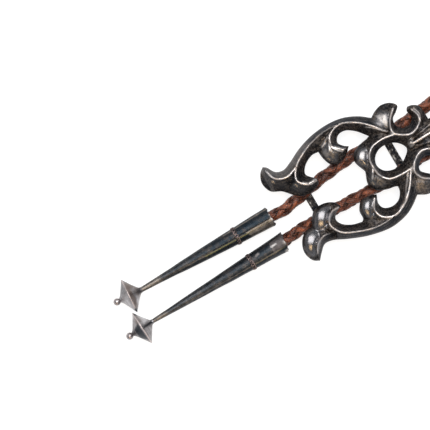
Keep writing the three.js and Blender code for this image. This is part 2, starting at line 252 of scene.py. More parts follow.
def fill_ramp(node, stops):
    """Gives a ramp node its stops, each a place from 0 to 1 and a colour."""
    elements = node.color_ramp.elements
    while len(elements) < len(stops):
        elements.new(0.5)
    for element, (place, colour) in zip(elements, stops):
        element.position = place
        element.color = (*colour, 1)


class Nodes:
    """Short calls for making one material's node tree."""

    def __init__(self, name):
        self.material = bpy.data.materials.new(name)
        self.material.use_nodes = True
        self.tree = self.material.node_tree
        self.shader = self.tree.nodes["Principled BSDF"]

    def add(self, kind, inputs, **settings):
        node = self.tree.nodes.new(kind)
        for key, value in settings.items():
            setattr(node, key, value)
        for key, value in inputs.items():
            self.put(node.inputs[key], value)
        return node

    def put(self, socket, value):
        if isinstance(value, bpy.types.NodeSocket):
            self.tree.links.new(value, socket)
        else:
            socket.default_value = value

    def set_shader(self, values):
        """Sets inputs of the material's shader."""
        for name, value in values.items():
            self.put(self.shader.inputs[name], value)

    def attribute(self, name):
        return self.add("ShaderNodeAttribute", {}, attribute_name=name).outputs["Fac"]

    def object_mm(self):
        """Object coordinates in millimetres."""
        place = self.add("ShaderNodeTexCoord", {}).outputs["Object"]
        return self.add("ShaderNodeVectorMath", {0: place, "Scale": 1 / MM},
                        operation="SCALE").outputs["Vector"]

    def noise(self, vector, scale, detail=3, roughness=0.5):
        return self.add("ShaderNodeTexNoise", {
            "Vector": vector, "Scale": scale, "Detail": detail, "Roughness": roughness,
        }).outputs["Fac"]

    def ramp(self, factor, stops):
        node = self.add("ShaderNodeValToRGB", {"Fac": factor})
        fill_ramp(node, stops)
        return node.outputs["Color"]

    def grey_ramp(self, factor, stops):
        return self.ramp(factor, [(place, grey(value)) for place, value in stops])

    def math(self, operation, a, b=0.0, c=0.0):
        node = self.add("ShaderNodeMath", {0: a, 1: b, 2: c}, operation=operation)
        return node.outputs["Value"]

    def times(self, a, b):
        return self.math("MULTIPLY", a, b)

    def sum_of(self, *terms, plus=0.0):
        """A number and the terms, each a value and its weight, added up."""
        total = plus
        for value, weight in terms:
            total = self.math("MULTIPLY_ADD", value, weight, total)
        return total

    def mix(self, factor, a, b):
        a, b = ((*value, 1) if isinstance(value, tuple) else value for value in (a, b))
        return self.add("ShaderNodeMix", {"Factor": factor, "A": a, "B": b},
                        data_type="RGBA").outputs["Result"]

    def stretched(self, *parts):
        """A vector of three values, each with the factor that stretches it."""
        x, y, z = (self.times(value, factor) for value, factor in parts)
        return self.add("ShaderNodeCombineXYZ", {"X": x, "Y": y, "Z": z}).outputs["Vector"]

    def split(self, vector):
        return self.add("ShaderNodeSeparateXYZ", {"Vector": vector}).outputs

    def bump(self, height, distance, strength, under=None):
        node = self.add("ShaderNodeBump", {"Height": height, "Distance": distance,
                                           "Strength": strength})
        if under is not None:
            self.put(node.inputs["Normal"], under)
        return node.outputs["Normal"]

    def finish(self, colour, roughness, normal, metallic=1.0):
        self.set_shader({"Base Color": colour, "Roughness": roughness, "Normal": normal,
                         "Metallic": metallic})
        return self.material


def cast_silver():
    """Oxidised cast silver: dark rough slopes, burnished lobes and crests worn to shining silver,
    with painted shade on some slopes and painted highlight on the wings' edges and on patches of
    bare silver.
    """
    n = Nodes("cast_silver")
    place = n.object_mm()
    x, y, _ = n.split(place)
    polish = n.attribute("polish")
    patches = n.noise(place, 0.4, detail=5, roughness=0.65)
    grain = n.noise(place, 1.6, detail=5, roughness=0.75)
    flecks = n.grey_ramp(n.noise(place, 2.6, detail=3, roughness=0.6), [(0.58, 0), (0.68, 1)])
    beside_ridges = n.stretched((n.attribute("ridge_gap"), 4.5), (x, 0.35), (y, 0.35))
    marks = n.noise(beside_ridges, 1.0, detail=3, roughness=0.6)
    spread = n.grey_ramp(patches, [(0.35, 0), (0.65, 1)])

    dark = n.mix(spread, (0.009, 0.010, 0.013), (0.030, 0.024, 0.021))
    worn = n.mix(spread, (0.105, 0.108, 0.118), (0.240, 0.200, 0.170))
    height = n.sum_of((marks, 1.6), (grain, 4.2), (n.attribute("rise"), 0.35), plus=-2.78)
    base = n.mix(n.grey_ramp(height, [(0.0, 0), (1.0, 1)]), dark, worn)
    base = n.mix(n.times(flecks, 0.45), base, (0.26, 0.215, 0.175))
    streaks = n.grey_ramp(marks, [(0.42, 1.0), (0.62, 0.45)])
    # Painted shade: slopes outside the wings' crests and the listed patches go to near black, in
    # streaks; so does the lower left of the face.
    base = n.mix(n.times(n.attribute("shade"), streaks), base, (0.005, 0.006, 0.008))
    # Painted highlight: the wings' outer slopes are lighter close to their edges.
    sheen_on_edges = n.times(n.attribute("edge_sheen"), n.math("ADD", grain, 0.35))
    base = n.mix(sheen_on_edges, base, (0.30, 0.28, 0.27))
    burnished = n.mix(grain, (0.13, 0.14, 0.165), (0.25, 0.23, 0.22))
    base = n.mix(n.times(polish, 0.8), base, burnished)

    uneven_wear = n.sum_of((patches, 1.2), (grain, 1.2), plus=-0.3)
    shine = n.grey_ramp(n.times(n.attribute("crest"), uneven_wear), [(0.15, 0), (0.75, 1)])
    bare = n.mix(spread, (0.80, 0.76, 0.75), (0.58, 0.50, 0.45))
    # Bare silver patches that also serve as painted highlight on lobes and scroll ends.
    rubbed_and_highlit = n.times(n.attribute("rubbed_and_highlit"), n.math("ADD", grain, 0.4))
    colour = n.mix(rubbed_and_highlit, n.mix(shine, base, bare), (0.62, 0.58, 0.55))
    dull = n.sum_of((polish, -0.2), (grain, 0.35), plus=0.28)
    roughness = n.mix(rubbed_and_highlit, n.mix(shine, dull, grey(0.38)), grey(0.5))

    calm = n.math("SUBTRACT", 1.0, n.times(polish, 0.8))
    filed = n.bump(n.times(marks, calm), 0.00012, 0.6)
    pitted = n.bump(n.times(grain, calm), 0.00016, 0.7, under=filed)
    n.set_shader({"Specular Tint": (0.70, 0.73, 0.78, 1)})
    return n.finish(colour, roughness, pitted)


def strip_silver():
    """The keeper strips on the back: dark, rolled and a little scratched."""
    n = Nodes("strip_silver")
    place = n.object_mm()
    x, y, z = n.split(place)
    streaks = n.noise(n.stretched((x, 0.5), (y, 5), (z, 1)), 1.0)
    patches = n.noise(place, 0.9, detail=4)
    colour = n.ramp(n.sum_of((streaks, 0.4), (patches, 0.6)),
                    [(0.40, (0.004, 0.005, 0.007)), (0.53, (0.014, 0.012, 0.011)),
                     (0.65, (0.22, 0.21, 0.20))])
    return n.finish(colour, n.grey_ramp(patches, [(0.2, 0.25), (0.8, 0.5)]),
                    n.bump(streaks, 0.00010, 0.8))


def shaft_silver():
    """Dark blue-grey sheet with a tan overlap by the seam, light wear at the mouth, and
    near-white chips and painted highlights.
    """
    n = Nodes("shaft_silver")
    place = n.object_mm()
    x, y, z = n.split(place)
    lines = n.noise(n.stretched((x, 4), (y, 0.15), (z, 4)), 1.0, detail=4, roughness=0.65)
    patches = n.noise(place, 0.6, detail=5, roughness=0.65)
    mixed = n.sum_of((lines, 0.4), (patches, 0.6))
    dark = n.ramp(mixed, [(0.36, (0.010, 0.014, 0.019)), (0.48, (0.021, 0.028, 0.035)),
                          (0.57, (0.046, 0.043, 0.043)), (0.68, (0.11, 0.098, 0.092))])
    pale = n.ramp(mixed, [(0.36, (0.024, 0.026, 0.030)), (0.64, (0.155, 0.150, 0.150))])
    tan = n.ramp(mixed, [(0.35, (0.08, 0.066, 0.056)), (0.62, (0.34, 0.30, 0.26))])
    worn = n.ramp(mixed, [(0.35, (0.060, 0.054, 0.054)), (0.65, (0.20, 0.181, 0.182))])
    wear = n.times(n.attribute("wear"), n.sum_of((patches, 0.8), plus=0.6))
    colour = n.mix(n.attribute("tan"), n.mix(n.attribute("aged"), dark, pale), tan)
    colour = n.mix(n.grey_ramp(wear, [(0.35, 0), (0.6, 1)]), colour, worn)
    colour = n.mix(n.attribute("brass"), colour, (0.27, 0.26, 0.13))
    # Near-white chips of bare metal at the mouths, and painted highlights on the right tip.
    colour = n.mix(n.attribute("chips_and_highlights"), colour, (0.85, 0.82, 0.80))
    satin = n.grey_ramp(patches, [(0.25, 0.36), (0.75, 0.55)])
    return n.finish(colour, n.mix(n.attribute("wear"), satin, grey(0.75)),
                    n.bump(lines, 0.00008, 0.6))


def bicone_silver():
    """Satin silver with tarnish and patches of painted highlight and painted shade: streaks run
    from the neck to the rim.
    """
    n = Nodes("bicone_silver")
    turn = n.attribute("turn")
    reach = n.attribute("reach")
    patches = n.noise(n.object_mm(), 0.7, detail=5, roughness=0.65)
    streaks = n.noise(n.stretched((turn, 9), (reach, 0.25), (0.0, 0.0)), 1.0,
                      detail=4, roughness=0.7)
    rings = n.noise(n.stretched((reach, 5), (0.0, 0.0), (0.0, 0.0)), 1.0, detail=2)
    mixed = n.sum_of((streaks, 0.4), (patches, 0.4), (rings, 0.2))
    colour = n.ramp(mixed, [(0.36, (0.10, 0.088, 0.085)), (0.5, (0.21, 0.197, 0.203)),
                            (0.62, (0.40, 0.39, 0.40))])
    # The pale patches are painted highlight and the darkest ones painted shade; brown is tarnish
    # and wear the polished rim.
    for name, tint in (("pale", (0.70, 0.69, 0.71)), ("brown", (0.110, 0.075, 0.058)),
                       ("wear", (0.66, 0.57, 0.55)), ("painted_shade", (0.016, 0.020, 0.027))):
        colour = n.mix(n.attribute(name), colour, tint)
    satin = n.grey_ramp(patches, [(0.2, 0.46), (0.8, 0.28)])
    return n.finish(colour, n.mix(n.attribute("rim"), satin, grey(0.55)),
                    n.bump(mixed, 0.00010, 0.6))


def wire_silver():
    """Fine twisted wire with a pinkish tarnish."""
    n = Nodes("wire_silver")
    patches = n.noise(n.object_mm(), 1.5, detail=4)
    colour = n.ramp(patches, [(0.36, (0.060, 0.046, 0.045)), (0.66, (0.27, 0.205, 0.195))])
    return n.finish(colour, 0.4, n.bump(patches, 0.00004, 0.5))


def braid_leather():
    """Waxed reddish-brown lace: darker at its edges, as painted shade where the laces meet, with
    grain along its length.
    """
    n = Nodes("braid_leather")
    across = n.attribute("across")
    place = n.object_mm()
    grain = n.noise(n.stretched((n.attribute("along"), 0.5), (across, 3),
                                (n.attribute("strand"), 1)), 1.4, detail=5, roughness=0.65)
    blotch = n.noise(place, 0.35, detail=3)
    cracks = n.noise(place, 2.6, detail=3, roughness=0.75)
    mixed = n.sum_of((grain, 0.35), (blotch, 0.25), (cracks, 0.4))
    tone = n.ramp(mixed, [(0.40, (0.012, 0.003, 0.001)), (0.5, (0.112, 0.024, 0.007)),
                          (0.60, (0.38, 0.106, 0.040))])
    # Painted shade: each lace darkens towards its edges, and the core, seen only in the gaps,
    # gets the same dark.
    edge = n.math("POWER", n.math("ABSOLUTE", across), 3.2)
    colour = n.mix(n.times(edge, 0.95), tone, (0.009, 0.003, 0.002))
    n.set_shader({"Specular IOR Level": 0.42})
    return n.finish(colour, n.grey_ramp(grain, [(0.35, 0.2), (0.7, 0.5)]),
                    n.bump(mixed, 0.00040, 1.0), metallic=0.0)


def tie_leather():
    """Plain dark leather, for the coil's lace and the cord's glued ends."""
    n = Nodes("tie_leather")
    grain = n.noise(n.object_mm(), 2.2, detail=5, roughness=0.7)
    colour = n.ramp(grain, [(0.3, (0.022, 0.008, 0.005)), (0.75, (0.075, 0.028, 0.016))])
    return n.finish(colour, 0.6, n.bump(grain, 0.0002, 0.7), metallic=0.0)


# ---- cord ---------------------------------------------------------------------------

# The same route as in the CAD, in metres from the ring's centre.
LEFT_LEG = [
    (-0.0032, -0.0412, 0.00315), (-0.00275, -0.0365, 0.00325), (-0.0034, -0.0315, 0.00335),
    (-0.0044, -0.0263, 0.0034), (-0.0053, -0.0205, 0.0034), (-0.0059, -0.015, 0.0034),
    (-0.0064, -0.009, 0.0034), (-0.0067, 0, 0.0034), (-0.0069, 0.009, 0.0034),
    (-0.0076, 0.015, 0.0034), (-0.0081, 0.02, 0.0034), (-0.0083, 0.028, 0.0034),
    (-0.0084, 0.035, 0.0032), (-0.009, 0.045, 0.0024), (-0.0106, 0.054, 0.0019),
    (-0.014, 0.065, 0.00185), (-0.0186, 0.075, 0.002), (-0.0224, 0.085, 0.0024),
]
RIGHT_LEG = [
    (0.00585, -0.0413, 0.00315), (0.0052, -0.0365, 0.00325), (0.0051, -0.0315, 0.00335),
    (0.0051, -0.0263, 0.0034), (0.0052, -0.0205, 0.0034), (0.0055, -0.015, 0.0034),
    (0.0058, -0.009, 0.0034), (0.0057, 0, 0.0034), (0.0051, 0.008, 0.0034),
    (0.0049, 0.014, 0.0034), (0.0053, 0.02, 0.0034), (0.0062, 0.028, 0.0034),
    (0.0072, 0.035, 0.0032), (0.0086, 0.045, 0.0024), (0.0108, 0.054, 0.0019),
    (0.0146, 0.064, 0.00185), (0.0188, 0.072, 0.0022), (0.022, 0.0795, 0.0035),
    (0.0238, 0.0875, 0.0056),
]


def coil_points():
    """In from the left along the lower layer, up, and out to the right along the upper one."""
    turns = 5.5
    points_per_turn = 24
    climb = 1.0
    lower_layer = 2.6
    inward = (turns - climb) / 2
    inner = COIL_WIDEST_TURN - COIL_PITCH * inward
    points = []
    for i in range(round(turns * points_per_turn) + 1):
        turn = i / points_per_turn
        if turn < inward:
            radius = COIL_WIDEST_TURN - COIL_PITCH * turn
            rise = 0
        elif turn <= inward + climb:
            half_turn = math.pi * (turn - inward) / climb
            radius = inner - (inner - COIL_TIGHTEST_TURN) * math.sin(half_turn) ** 0.8
            rise = 0.5 - 0.5 * math.cos(half_turn)
        else:
            radius = COIL_WIDEST_TURN - COIL_PITCH * (turns - turn)
            rise = 1
        angle = math.pi - turn * 2 * math.pi
        points.append((radius * math.cos(angle), COIL_CENTRE_Y + radius * math.sin(angle),
                       lower_layer + COIL_PITCH * rise))
    return points


def cord_route():
    """From the left mouth through the coil to the right mouth."""
    left, right = ((np.array(leg) / MM).tolist() for leg in (LEFT_LEG, RIGHT_LEG))
    return smooth_curve(left + coil_points() + right[::-1], 0.56)


def frames_along(path):
    """A normal and a binormal at each point that turn as little as possible."""
    tangents = unit(np.gradient(path, axis=0))
    normals = np.zeros_like(path)
    normal = np.cross(tangents[0], (0, 0, 1))
    for i, tangent in enumerate(tangents):
        normal = normal - tangent * np.dot(normal, tangent)
        normal /= np.linalg.norm(normal)
        normals[i] = normal
    return normals, np.cross(tangents, normals)


def strand_rings(centres, outward, half_width, half_height, sides):
    """Flattened rings of points square to a strand, and their place across it."""
    sideways = unit(np.cross(unit(np.gradient(centres, axis=0)), outward))
    angle = np.arange(sides) * 2 * math.pi / sides
    across = np.sign(np.cos(angle)) * np.abs(np.cos(angle)) ** 0.8
    lift = np.sign(np.sin(angle)) * np.abs(np.sin(angle)) ** 0.9
    rings = (centres[:, None, :]
             + sideways[:, None, :] * (across * half_width)[None, :, None]
             + outward[:, None, :] * (lift * half_height)[None, :, None])
    return rings.reshape(-1, 3), np.tile(across, len(centres))


def make_cord(material):
    """Six laces braided round a core; each goes over one and under one."""
    path = cord_route()
    normals, binormals = frames_along(path)
    travel = travel_along(path)
    pitch = 18
    laces_each_way = 3
    middle = 1.3
    swing = 0.24
    core_radius = 1.2
    # The core is painted dark, as shade in the gaps between the laces.
    core_darkness = 0.85
    sides = 8
    turn = travel * 2 * math.pi / pitch
    thickness = 1 + 0.05 * np.array([wobble(*p, 6, 2) for p in path])
    strands = []
    for index in range(2 * laces_each_way):
        direction = 1 if index < laces_each_way else -1
        slip = 0.12 * np.array([wobble(t, index * 9, 0, 5, 4) for t in travel])
        angle = direction * turn + (index % laces_each_way) * 2 * math.pi / laces_each_way + slip
        outward = normals * np.cos(angle)[:, None] + binormals * np.sin(angle)[:, None]
        radius = thickness * (middle + direction * swing * np.cos(laces_each_way * turn))
        centres = path + outward * radius[:, None]
        strands.append((*strand_rings(centres, outward, 0.95, 0.5, sides), index * 3.7))
    core, _ = strand_rings(path, normals, core_radius, core_radius, sides)
    strands.append((core, np.full(len(core), core_darkness), 0))

    rings, across, numbers = zip(*strands)
    faces = []
    for strand in range(len(strands)):
        faces += tube_faces(len(path), sides, strand * len(core))
    cord = make_object("braided_cord", np.vstack(rings), faces, material, "cord",
                       ["cord_left_leg", "cord_right_leg", "cord_coil"])
    add_attributes(cord, {
        "across": np.concatenate(across),
        "along": np.tile(np.repeat(travel, sides), len(strands)),
        "strand": np.repeat(numbers, len(core)),
    })
    return cord, path * MM + np.array([0, RING_Y, 0])


def make_coil_tie(material):
    """Three turns of thin lace round the coil's far side."""
    low, high = plan_box("coil_tie")
    lace_half_width = 0.62
    lace_half_height = 0.46
    turns = 3
    corner = 1.6
    slant = 0.18
    half = (high - low) / 2 - lace_half_height
    middle = (high + low) / 2
    loops, outwards = [], []
    for turn in range(turns):
        x = low[0] + (high[0] - low[0]) * (turn + 0.5) / turns
        loop = []
        for quarter, (sy, sz) in enumerate([(1, 1), (-1, 1), (-1, -1), (1, -1)]):
            for step in range(7):
                a = math.pi / 2 * (quarter + step / 6)
                loop.append((x + slant * math.sin(2 * a),
                             middle[1] + sy * (half[1] - corner) + corner * math.cos(a),
                             middle[2] + sz * (half[2] - corner) + corner * math.sin(a)))
        loops.append(np.array(loop))
        outwards.append(unit((loops[-1] - middle) * (0, 1, 1)))
    vertices, faces = looped_tubes(loops, outwards, lace_half_width, lace_half_height, 10)
    return make_object("coil_lace", vertices, faces, material, "cord",
                       ["coil_tie"])


# ---- slide --------------------------------------------------------------------------

# From the crown's tip down the left side and back up the right side. Each run is smooth and
# goes on to the next one's first point, where there is a corner.
OUTLINE = [
    [(0, CROWN_TOP), (-2.4, 37), (-3.7, 34)],
    [(-3.9, 31.6), (-6.2, 33.4), (-9, 33), (-10.7, 30.6), (-10.2, 27.8)],
    [(-8.6, 26.4), (-6.4, 26.6), (-5, 24.6), (-4.4, 21.6)],
    [(-4.3, 17.4), (-9, 17.1), (-10.6, 15.2)],
    [(-10.9, 13.8), (-10.4, 13.2)],
    [(-9.7, 12.9), (-7.3, 13.2), (-5.7, 11.4), (-6, 9), (-8, 7.6), (-10, 8), (-11.3, 9.8),
     (-12.8, 11.2), (-14.6, 9.8), (-15.5, 6.9), (-14.8, 4.3)],
    [(-13.6, 2.3), (-16.1, -0.9), (-18.2, -5.5), (-18.9, -10.5), (-18.4, -16.5), (-16.8, -22),
     (-14.6, -26.6), (-13.6, -29.6), (-14.4, -32), (-16.9, -33.6)],
    [(-17.7, -34.6), (-16.4, -36.2), (-13.4, -37.4), (-10, -36.4), (-8, -33.2)],
    [(-5.3, -30.8), (-3.7, -28.7), (-3.1, -25.6), (-4.2, -22.5)],
    [(-5.6, -21.6), (-6.9, -22.8), (-9, -24.3), (-11.3, -22.9), (-13, -19.6)],
    [(-12.9, -17.3), (-10.2, -17), (-7.6, -15.9), (-6.6, -13.6), (-7.2, -11)],
    [(-9.6, -8.2), (-10.7, -9.7), (-12.4, -10.7), (-14.2, -9.4), (-14.4, -6.9), (-12.6, -4.1)],
    [(-9.1, -1.2), (-8.5, -3.2), (-8, -6), (-6.6, -8.2), (-4.4, -9.1)],
    [(-0.2, -7.8), (3.8, -9.1), (6.4, -7.9), (8, -5), (8.6, -2.2)],
    [(9, -1.4), (10.6, -1.7), (12.7, -3.4), (13.4, -6), (12.4, -8.7), (10.4, -9.4)],
    [(7.7, -8.4), (6.8, -11), (6.9, -13.5), (9.4, -15.6), (12.2, -15.9)],
    [(12.8, -16.6), (11.9, -19.8), (9.9, -22.6), (7.9, -23.35), (6.2, -22.1)],
    [(5.2, -19.8), (3.1, -21.1), (1.7, -24.2), (2.1, -27.8)],
    [(6.1, -31), (6.5, -33.6), (8.6, -35.9), (12, -37), (15.3, -35.9)],
    [(16.5, -34.1), (14.3, -32.1), (12.8, -30.2), (13, -27.6), (15, -23.4), (17.3, -17.8),
     (18.7, -12), (18.9, -8.3), (17.9, -3.4), (16.3, -0.3)],
    [(14.3, 2.4), (15.8, 5.4), (15.7, 8.8), (13.9, 11), (12.2, 11), (10.4, 8.9), (8.2, 7),
     (6.2, 8), (5.2, 10.4), (6.3, 12.8)],
    [(9.6, 13), (10.4, 13.2)],
    [(10.9, 13.8), (10.6, 15.2), (9, 17.1)],
    [(4.2, 17.4), (4.4, 21.6), (5, 24.6), (6.4, 26.6)],
    [(8.6, 26.4), (10.2, 27.8), (10.7, 30.6), (9, 33), (6.2, 33.4)],
    [(3.9, 31.6), (3.7, 34), (2.4, 37)],
]
RING_OPENING = [
    [(0.2, 7), (2.2, 5.3), (3.7, 2.4), (3.5, -0.8), (2.2, -2.9), (0, -3.8), (-2.3, -3),
     (-3.9, -0.8), (-4.1, 2.4), (-2.6, 5.5)],
]

# Crest lines: height at the start and end (1 is full), shine at the start and end, points.
RIDGES = [
    (1, 1, 1, 1, [(-5.6, 5.4), (-6.2, 1.5), (-5.5, -2.7), (-3, -4.9), (0, -5.2), (3, -4.8),
                  (5.5, -2.7), (6.2, 0.8), (6.2, 4.9)]),
    (0.5, 0.6, 0.6, 1, [(-9.6, 14.2), (-7, 14.9), (-4.6, 13.9), (-3.1, 10.4), (-4.2, 7.6),
                        (-6.2, 5.5), (-9.4, 6.3), (-12.6, 9.4)]),
    (0.5, 0.6, 0.8, 1, [(9.6, 14.2), (7, 14.9), (4.6, 13.9), (3.1, 10.4), (4.5, 7.2), (7.3, 5.2),
                        (10, 6), (12.4, 9)]),
    (0.8, 0.5, 0.5, 1, [(-7.4, 4.3), (-11, 1.3), (-14.6, -2.5), (-16.9, -7.5), (-15.7, -11.4),
                        (-12.2, -13.1), (-9.8, -11.5), (-9.5, -9.6)]),
    (1, 0.5, 0.9, 1, [(6.6, 4.4), (11, 1.2), (14.4, -2.5), (16.1, -7), (14.5, -10.6),
                      (11.4, -11.6), (8.4, -9.7)]),
    (1, 0.5, 0.35, 1, [(-16.9, -7.6), (-17.4, -10.5), (-17.1, -15), (-15.4, -20.7),
                       (-12.1, -26), (-8.6, -27.7), (-5.7, -25), (-5.7, -22.4)]),
    (1, 0.5, 0.3, 1, [(16.1, -7.2), (16.5, -10), (16.3, -14), (14.7, -19.2), (11.9, -24.2),
                      (8, -25.8), (5.2, -23.4), (5.1, -20.8)]),
    (0.9, 0.5, 0.9, 0.8, [(-12.3, -25.8), (-11.2, -29.8), (-12.7, -33.3), (-16.2, -34.5)]),
    (0.3, 0.4, 0.6, 0.4, [(10.9, -26), (10.4, -29.4), (12, -32.5), (15.2, -34)]),
    (0.8, 0.4, 1, 1, [(-0.2, 9.4), (-0.3, 15.5), (0, 26), (0, 37)]),
    (0.45, 0.4, 0.2, 0.6, [(-1.4, 10), (-2.4, 15.5), (-3.2, 22.5), (-4.8, 28.4), (-7.8, 30.4)]),
    (0.5, 0.4, 0.2, 0.6, [(1.1, 10), (2.1, 14.8), (3.1, 22.5), (4.8, 28.4), (7.8, 30.4)]),
]

# Along the crests of the two wings: the slopes outside it get the darkest painted shade.
WING_CRESTS = [(-7.4, 4.3), (-11, 1.3), (-14.6, -2.5), (-16.9, -7.5), (-17.1, -15),
               (-15.4, -20.7), (-12.1, -26), (-11.2, -30), (-14, -34), (14, -33.4), (10.4, -29.4),
               (11.9, -24.2), (14.7, -19.2), (16.3, -14), (16.1, -7), (14.4, -2.5), (11, 1.2),
               (6.6, 4.4)]

# Thin lines beside the ridges.
FINE_LINES = [
    [(-9.4, 15), (-7, 15.6), (-5, 14.6)],
    [(-7.5, 4), (-9, 2.5), (-10.5, 1), (-12, -0.8)],
    [(7, 3), (9, 1.5), (11, 0), (12.7, -1), (14, -2.3), (15, -4.5)],
    [(-0.2, -5.5), (1, -6), (2.2, -6.6), (3, -7.2)],
    [(-15.8, -11.9), (-14.5, -12.8), (-13.2, -13.5), (-11.8, -14)],
    [(-15.4, -12.8), (-14.5, -14.2), (-13.6, -15.8)],
    [(-6.1, -23.2), (-6.2, -25), (-7.3, -26.4)],
]

# Patches worn back to bare silver and laid where highlights fall, as painted highlight: clockwise
# corners in the plan, strength and blur.
RUBBED_AND_HIGHLIT = [
    ([(-12.2, 6.4), (-8.4, 5), (-13.6, 3.4), (-13.1, 4.9)], 0.5, 0.3),
    ([(-5.8, -4.5), (-4.9, -5), (-3.6, -7), (-4.2, -8), (-6.1, -6.2)], 0.2, 0.35),
    ([(-12.3, -12.4), (-9.4, -9.9), (-9.1, -11), (-10.9, -12.9)], 1.0, 0.2),
    ([(-14, -12.6), (-11, -13.7), (-11.2, -14.7), (-12.1, -14.2)], 1.0, 0.2),
    ([(-12.6, -15), (-10.4, -15), (-10.2, -16.4), (-12.4, -16.6)], 0.35, 0.4),
    ([(1.6, -6.3), (3.1, -6.8), (3.1, -7.5), (2.3, -7.2)], 0.9, 0.2),
    ([(-2, 9.6), (0.5, 9.6), (0.6, 8.2), (-1.6, 8)], 0.8, 0.3),
    ([(5.9, 5.2), (7.1, 5.1), (7.3, 4.1), (6, 4)], 0.7, 0.3),
    ([(-7, 5.8), (-5.6, 5.9), (-5.5, 4.7), (-6.8, 4.8)], 0.6, 0.3),
    ([(-6.3, -22.3), (-5.5, -22.2), (-5.3, -24.4), (-6.1, -25)], 0.6, 0.25),
]

# Painted shade: patches of slope darkened to near black, as if they faced dark surroundings.
SHADED = [
    ([(3.3, 10.4), (4.6, 13.4), (6.1, 12.6), (5.2, 10.4)], 1.0, 0.3),
    ([(3.3, 10.4), (5.2, 10.4), (6.2, 8.1), (4.7, 7.2)], 1.0, 0.3),
    ([(4.7, 7.3), (6.2, 8.1), (8.2, 7.1), (7.3, 5.4)], 1.0, 0.3),
    ([(-6.9, 13), (-4.7, 13.4), (-3.3, 10.4), (-5.6, 10.9)], 0.7, 0.3),
    ([(-5.7, 10.9), (-3.3, 10.4), (-4.3, 7.8), (-6.1, 8.9)], 0.7, 0.3),
    ([(-6.1, 8.9), (-4.4, 7.7), (-6.2, 5.8), (-8, 7.5)], 0.7, 0.3),
    ([(-15.2, 7.5), (-13.4, 10.4), (-12.9, 8.5), (-13.4, 5.2), (-14.9, 4.2)], 0.9, 0.6),
]

# Flats along short level lines: both ends, half width, and slope in degrees down the picture.
FLATS = [
    ((-9.7, -15.8), (-9.1, -15.4), 0.55, 15),
    ((-3.8, -8), (-2.7, -7.6), 0.5, 15),
    ((3.5, -7.7), (4.4, -7.4), 0.5, 15),
    ((-7.8, -28.8), (-7.2, -28.5), 0.6, 15),
    ((-12.5, -34.5), (-12, -34), 0.55, 15),
    ((-12, -12.9), (-9.6, -10.4), 0.45, -9),
    ((-13.4, -13.4), (-11.5, -14.2), 0.35, -9),
    ((0.4, -5.7), (2.7, -7), 0.35, -9),
    ((-6, -24.8), (-5.9, -23), 0.35, -9),
]

# Swollen lobes: centre x, centre y, half length, half width, turn in degrees, fullness.
LOBES = [
    (-4.3, -7, 3.8, 2.7, -35, 0.9),
    (4.2, -6.7, 4, 2.4, 20, 0.4),
    (-10.6, -14.8, 4.4, 2.5, -8, 0.5),
    (9.7, -13.1, 3.8, 2.6, -25, 1.0),
    (-5.4, -28, 3.6, 2.6, 60, 0.22),
    (5.3, -27, 4.4, 2.8, -62, 1.0),
    (-11, -34, 5, 2.6, 28, 0.2),
    (10.1, -33.6, 5, 3, -35, 1.0),
    (-11.4, 4.8, 4, 2.8, 35, 0.45),
    (12.6, 6, 4, 2.8, -55, 0.4),
]
LOBE_CURVE_RADIUS = 6

# A small boss above the ring.
BOSS_CENTRE = (-0.7, 8.8)
BOSS_RADIUS = 0.95

# How widely the crests of the ridges are rounded off.
CREST_ROUNDING = 0.27

# Down the picture, in the plan.
PICTURE_DOWN = np.array([0.86, -0.51])


def inside(points, polygon):
    """True for the points that lie in the polygon."""
    x, y = points[:, 0], points[:, 1]
    result = np.zeros(len(points), bool)
    x1, y1 = polygon[-1]
    for x2, y2 in polygon:
        if y1 != y2:
            crosses = (y1 > y) != (y2 > y)
            result ^= crosses & (x < (x2 - x1) * (y - y1) / (y2 - y1) + x1)
        x1, y1 = x2, y2
    return result


def on_casting(points, outlines):
    """True inside the casting's outline and outside its ring opening."""
    return inside(points, outlines[0]) & ~inside(points, outlines[1])


class Nearest:
    """Distance from points in the plan to a set of lines, given as close samples."""

    def __init__(self, lines, values=None):
        samples = np.vstack(lines)
        self.values = np.vstack(values) if values else np.zeros((len(samples), 0))
        self.tree = KDTree(len(samples))
        for index, (x, y) in enumerate(samples):
            self.tree.insert((x, y, 0), index)
        self.tree.balance()

    def measure(self, points):
        """The gap to the nearest sample, and that sample's values."""
        gaps = np.zeros(len(points))
        nearest = np.zeros(len(points), int)
        for i, (x, y) in enumerate(points):
            _, nearest[i], gaps[i] = self.tree.find((x, y, 0))
        return gaps, self.values[nearest]


def ridge_values(levels, shines, line):
    """Height and shine along a ridge; it reaches full height a few millimetres from its ends."""
    travel = travel_along(line)
    fall = 3.5
    near = smooth_step(0, fall, travel)
    far = smooth_step(0, fall, travel[-1] - travel)
    start, end = levels
    level = np.minimum(start + (1 - start) * near, end + (1 - end) * far)
    return np.column_stack([level, np.interp(travel, [0, travel[-1]], shines)])


def lobe_shape(points):
    """How far each point belongs to a lobe (0 to its fullness), and its distance from the top."""
    strength = np.zeros(len(points))
    from_top = np.zeros(len(points))
    for x, y, half_length, half_width, turn, fullness in LOBES:
        a = math.radians(turn)
        dx = points[:, 0] - x
        dy = points[:, 1] - y
        u = (dx * math.cos(a) + dy * math.sin(a)) / half_length
        v = (-dx * math.sin(a) + dy * math.cos(a)) / half_width
        own = fullness * (1 - smooth_step(0.8, 1.2, np.hypot(u, v)))
        nearer = own > strength
        strength[nearer] = own[nearer]
        from_top[nearer] = np.hypot(dx, dy)[nearer]
    return strength, from_top


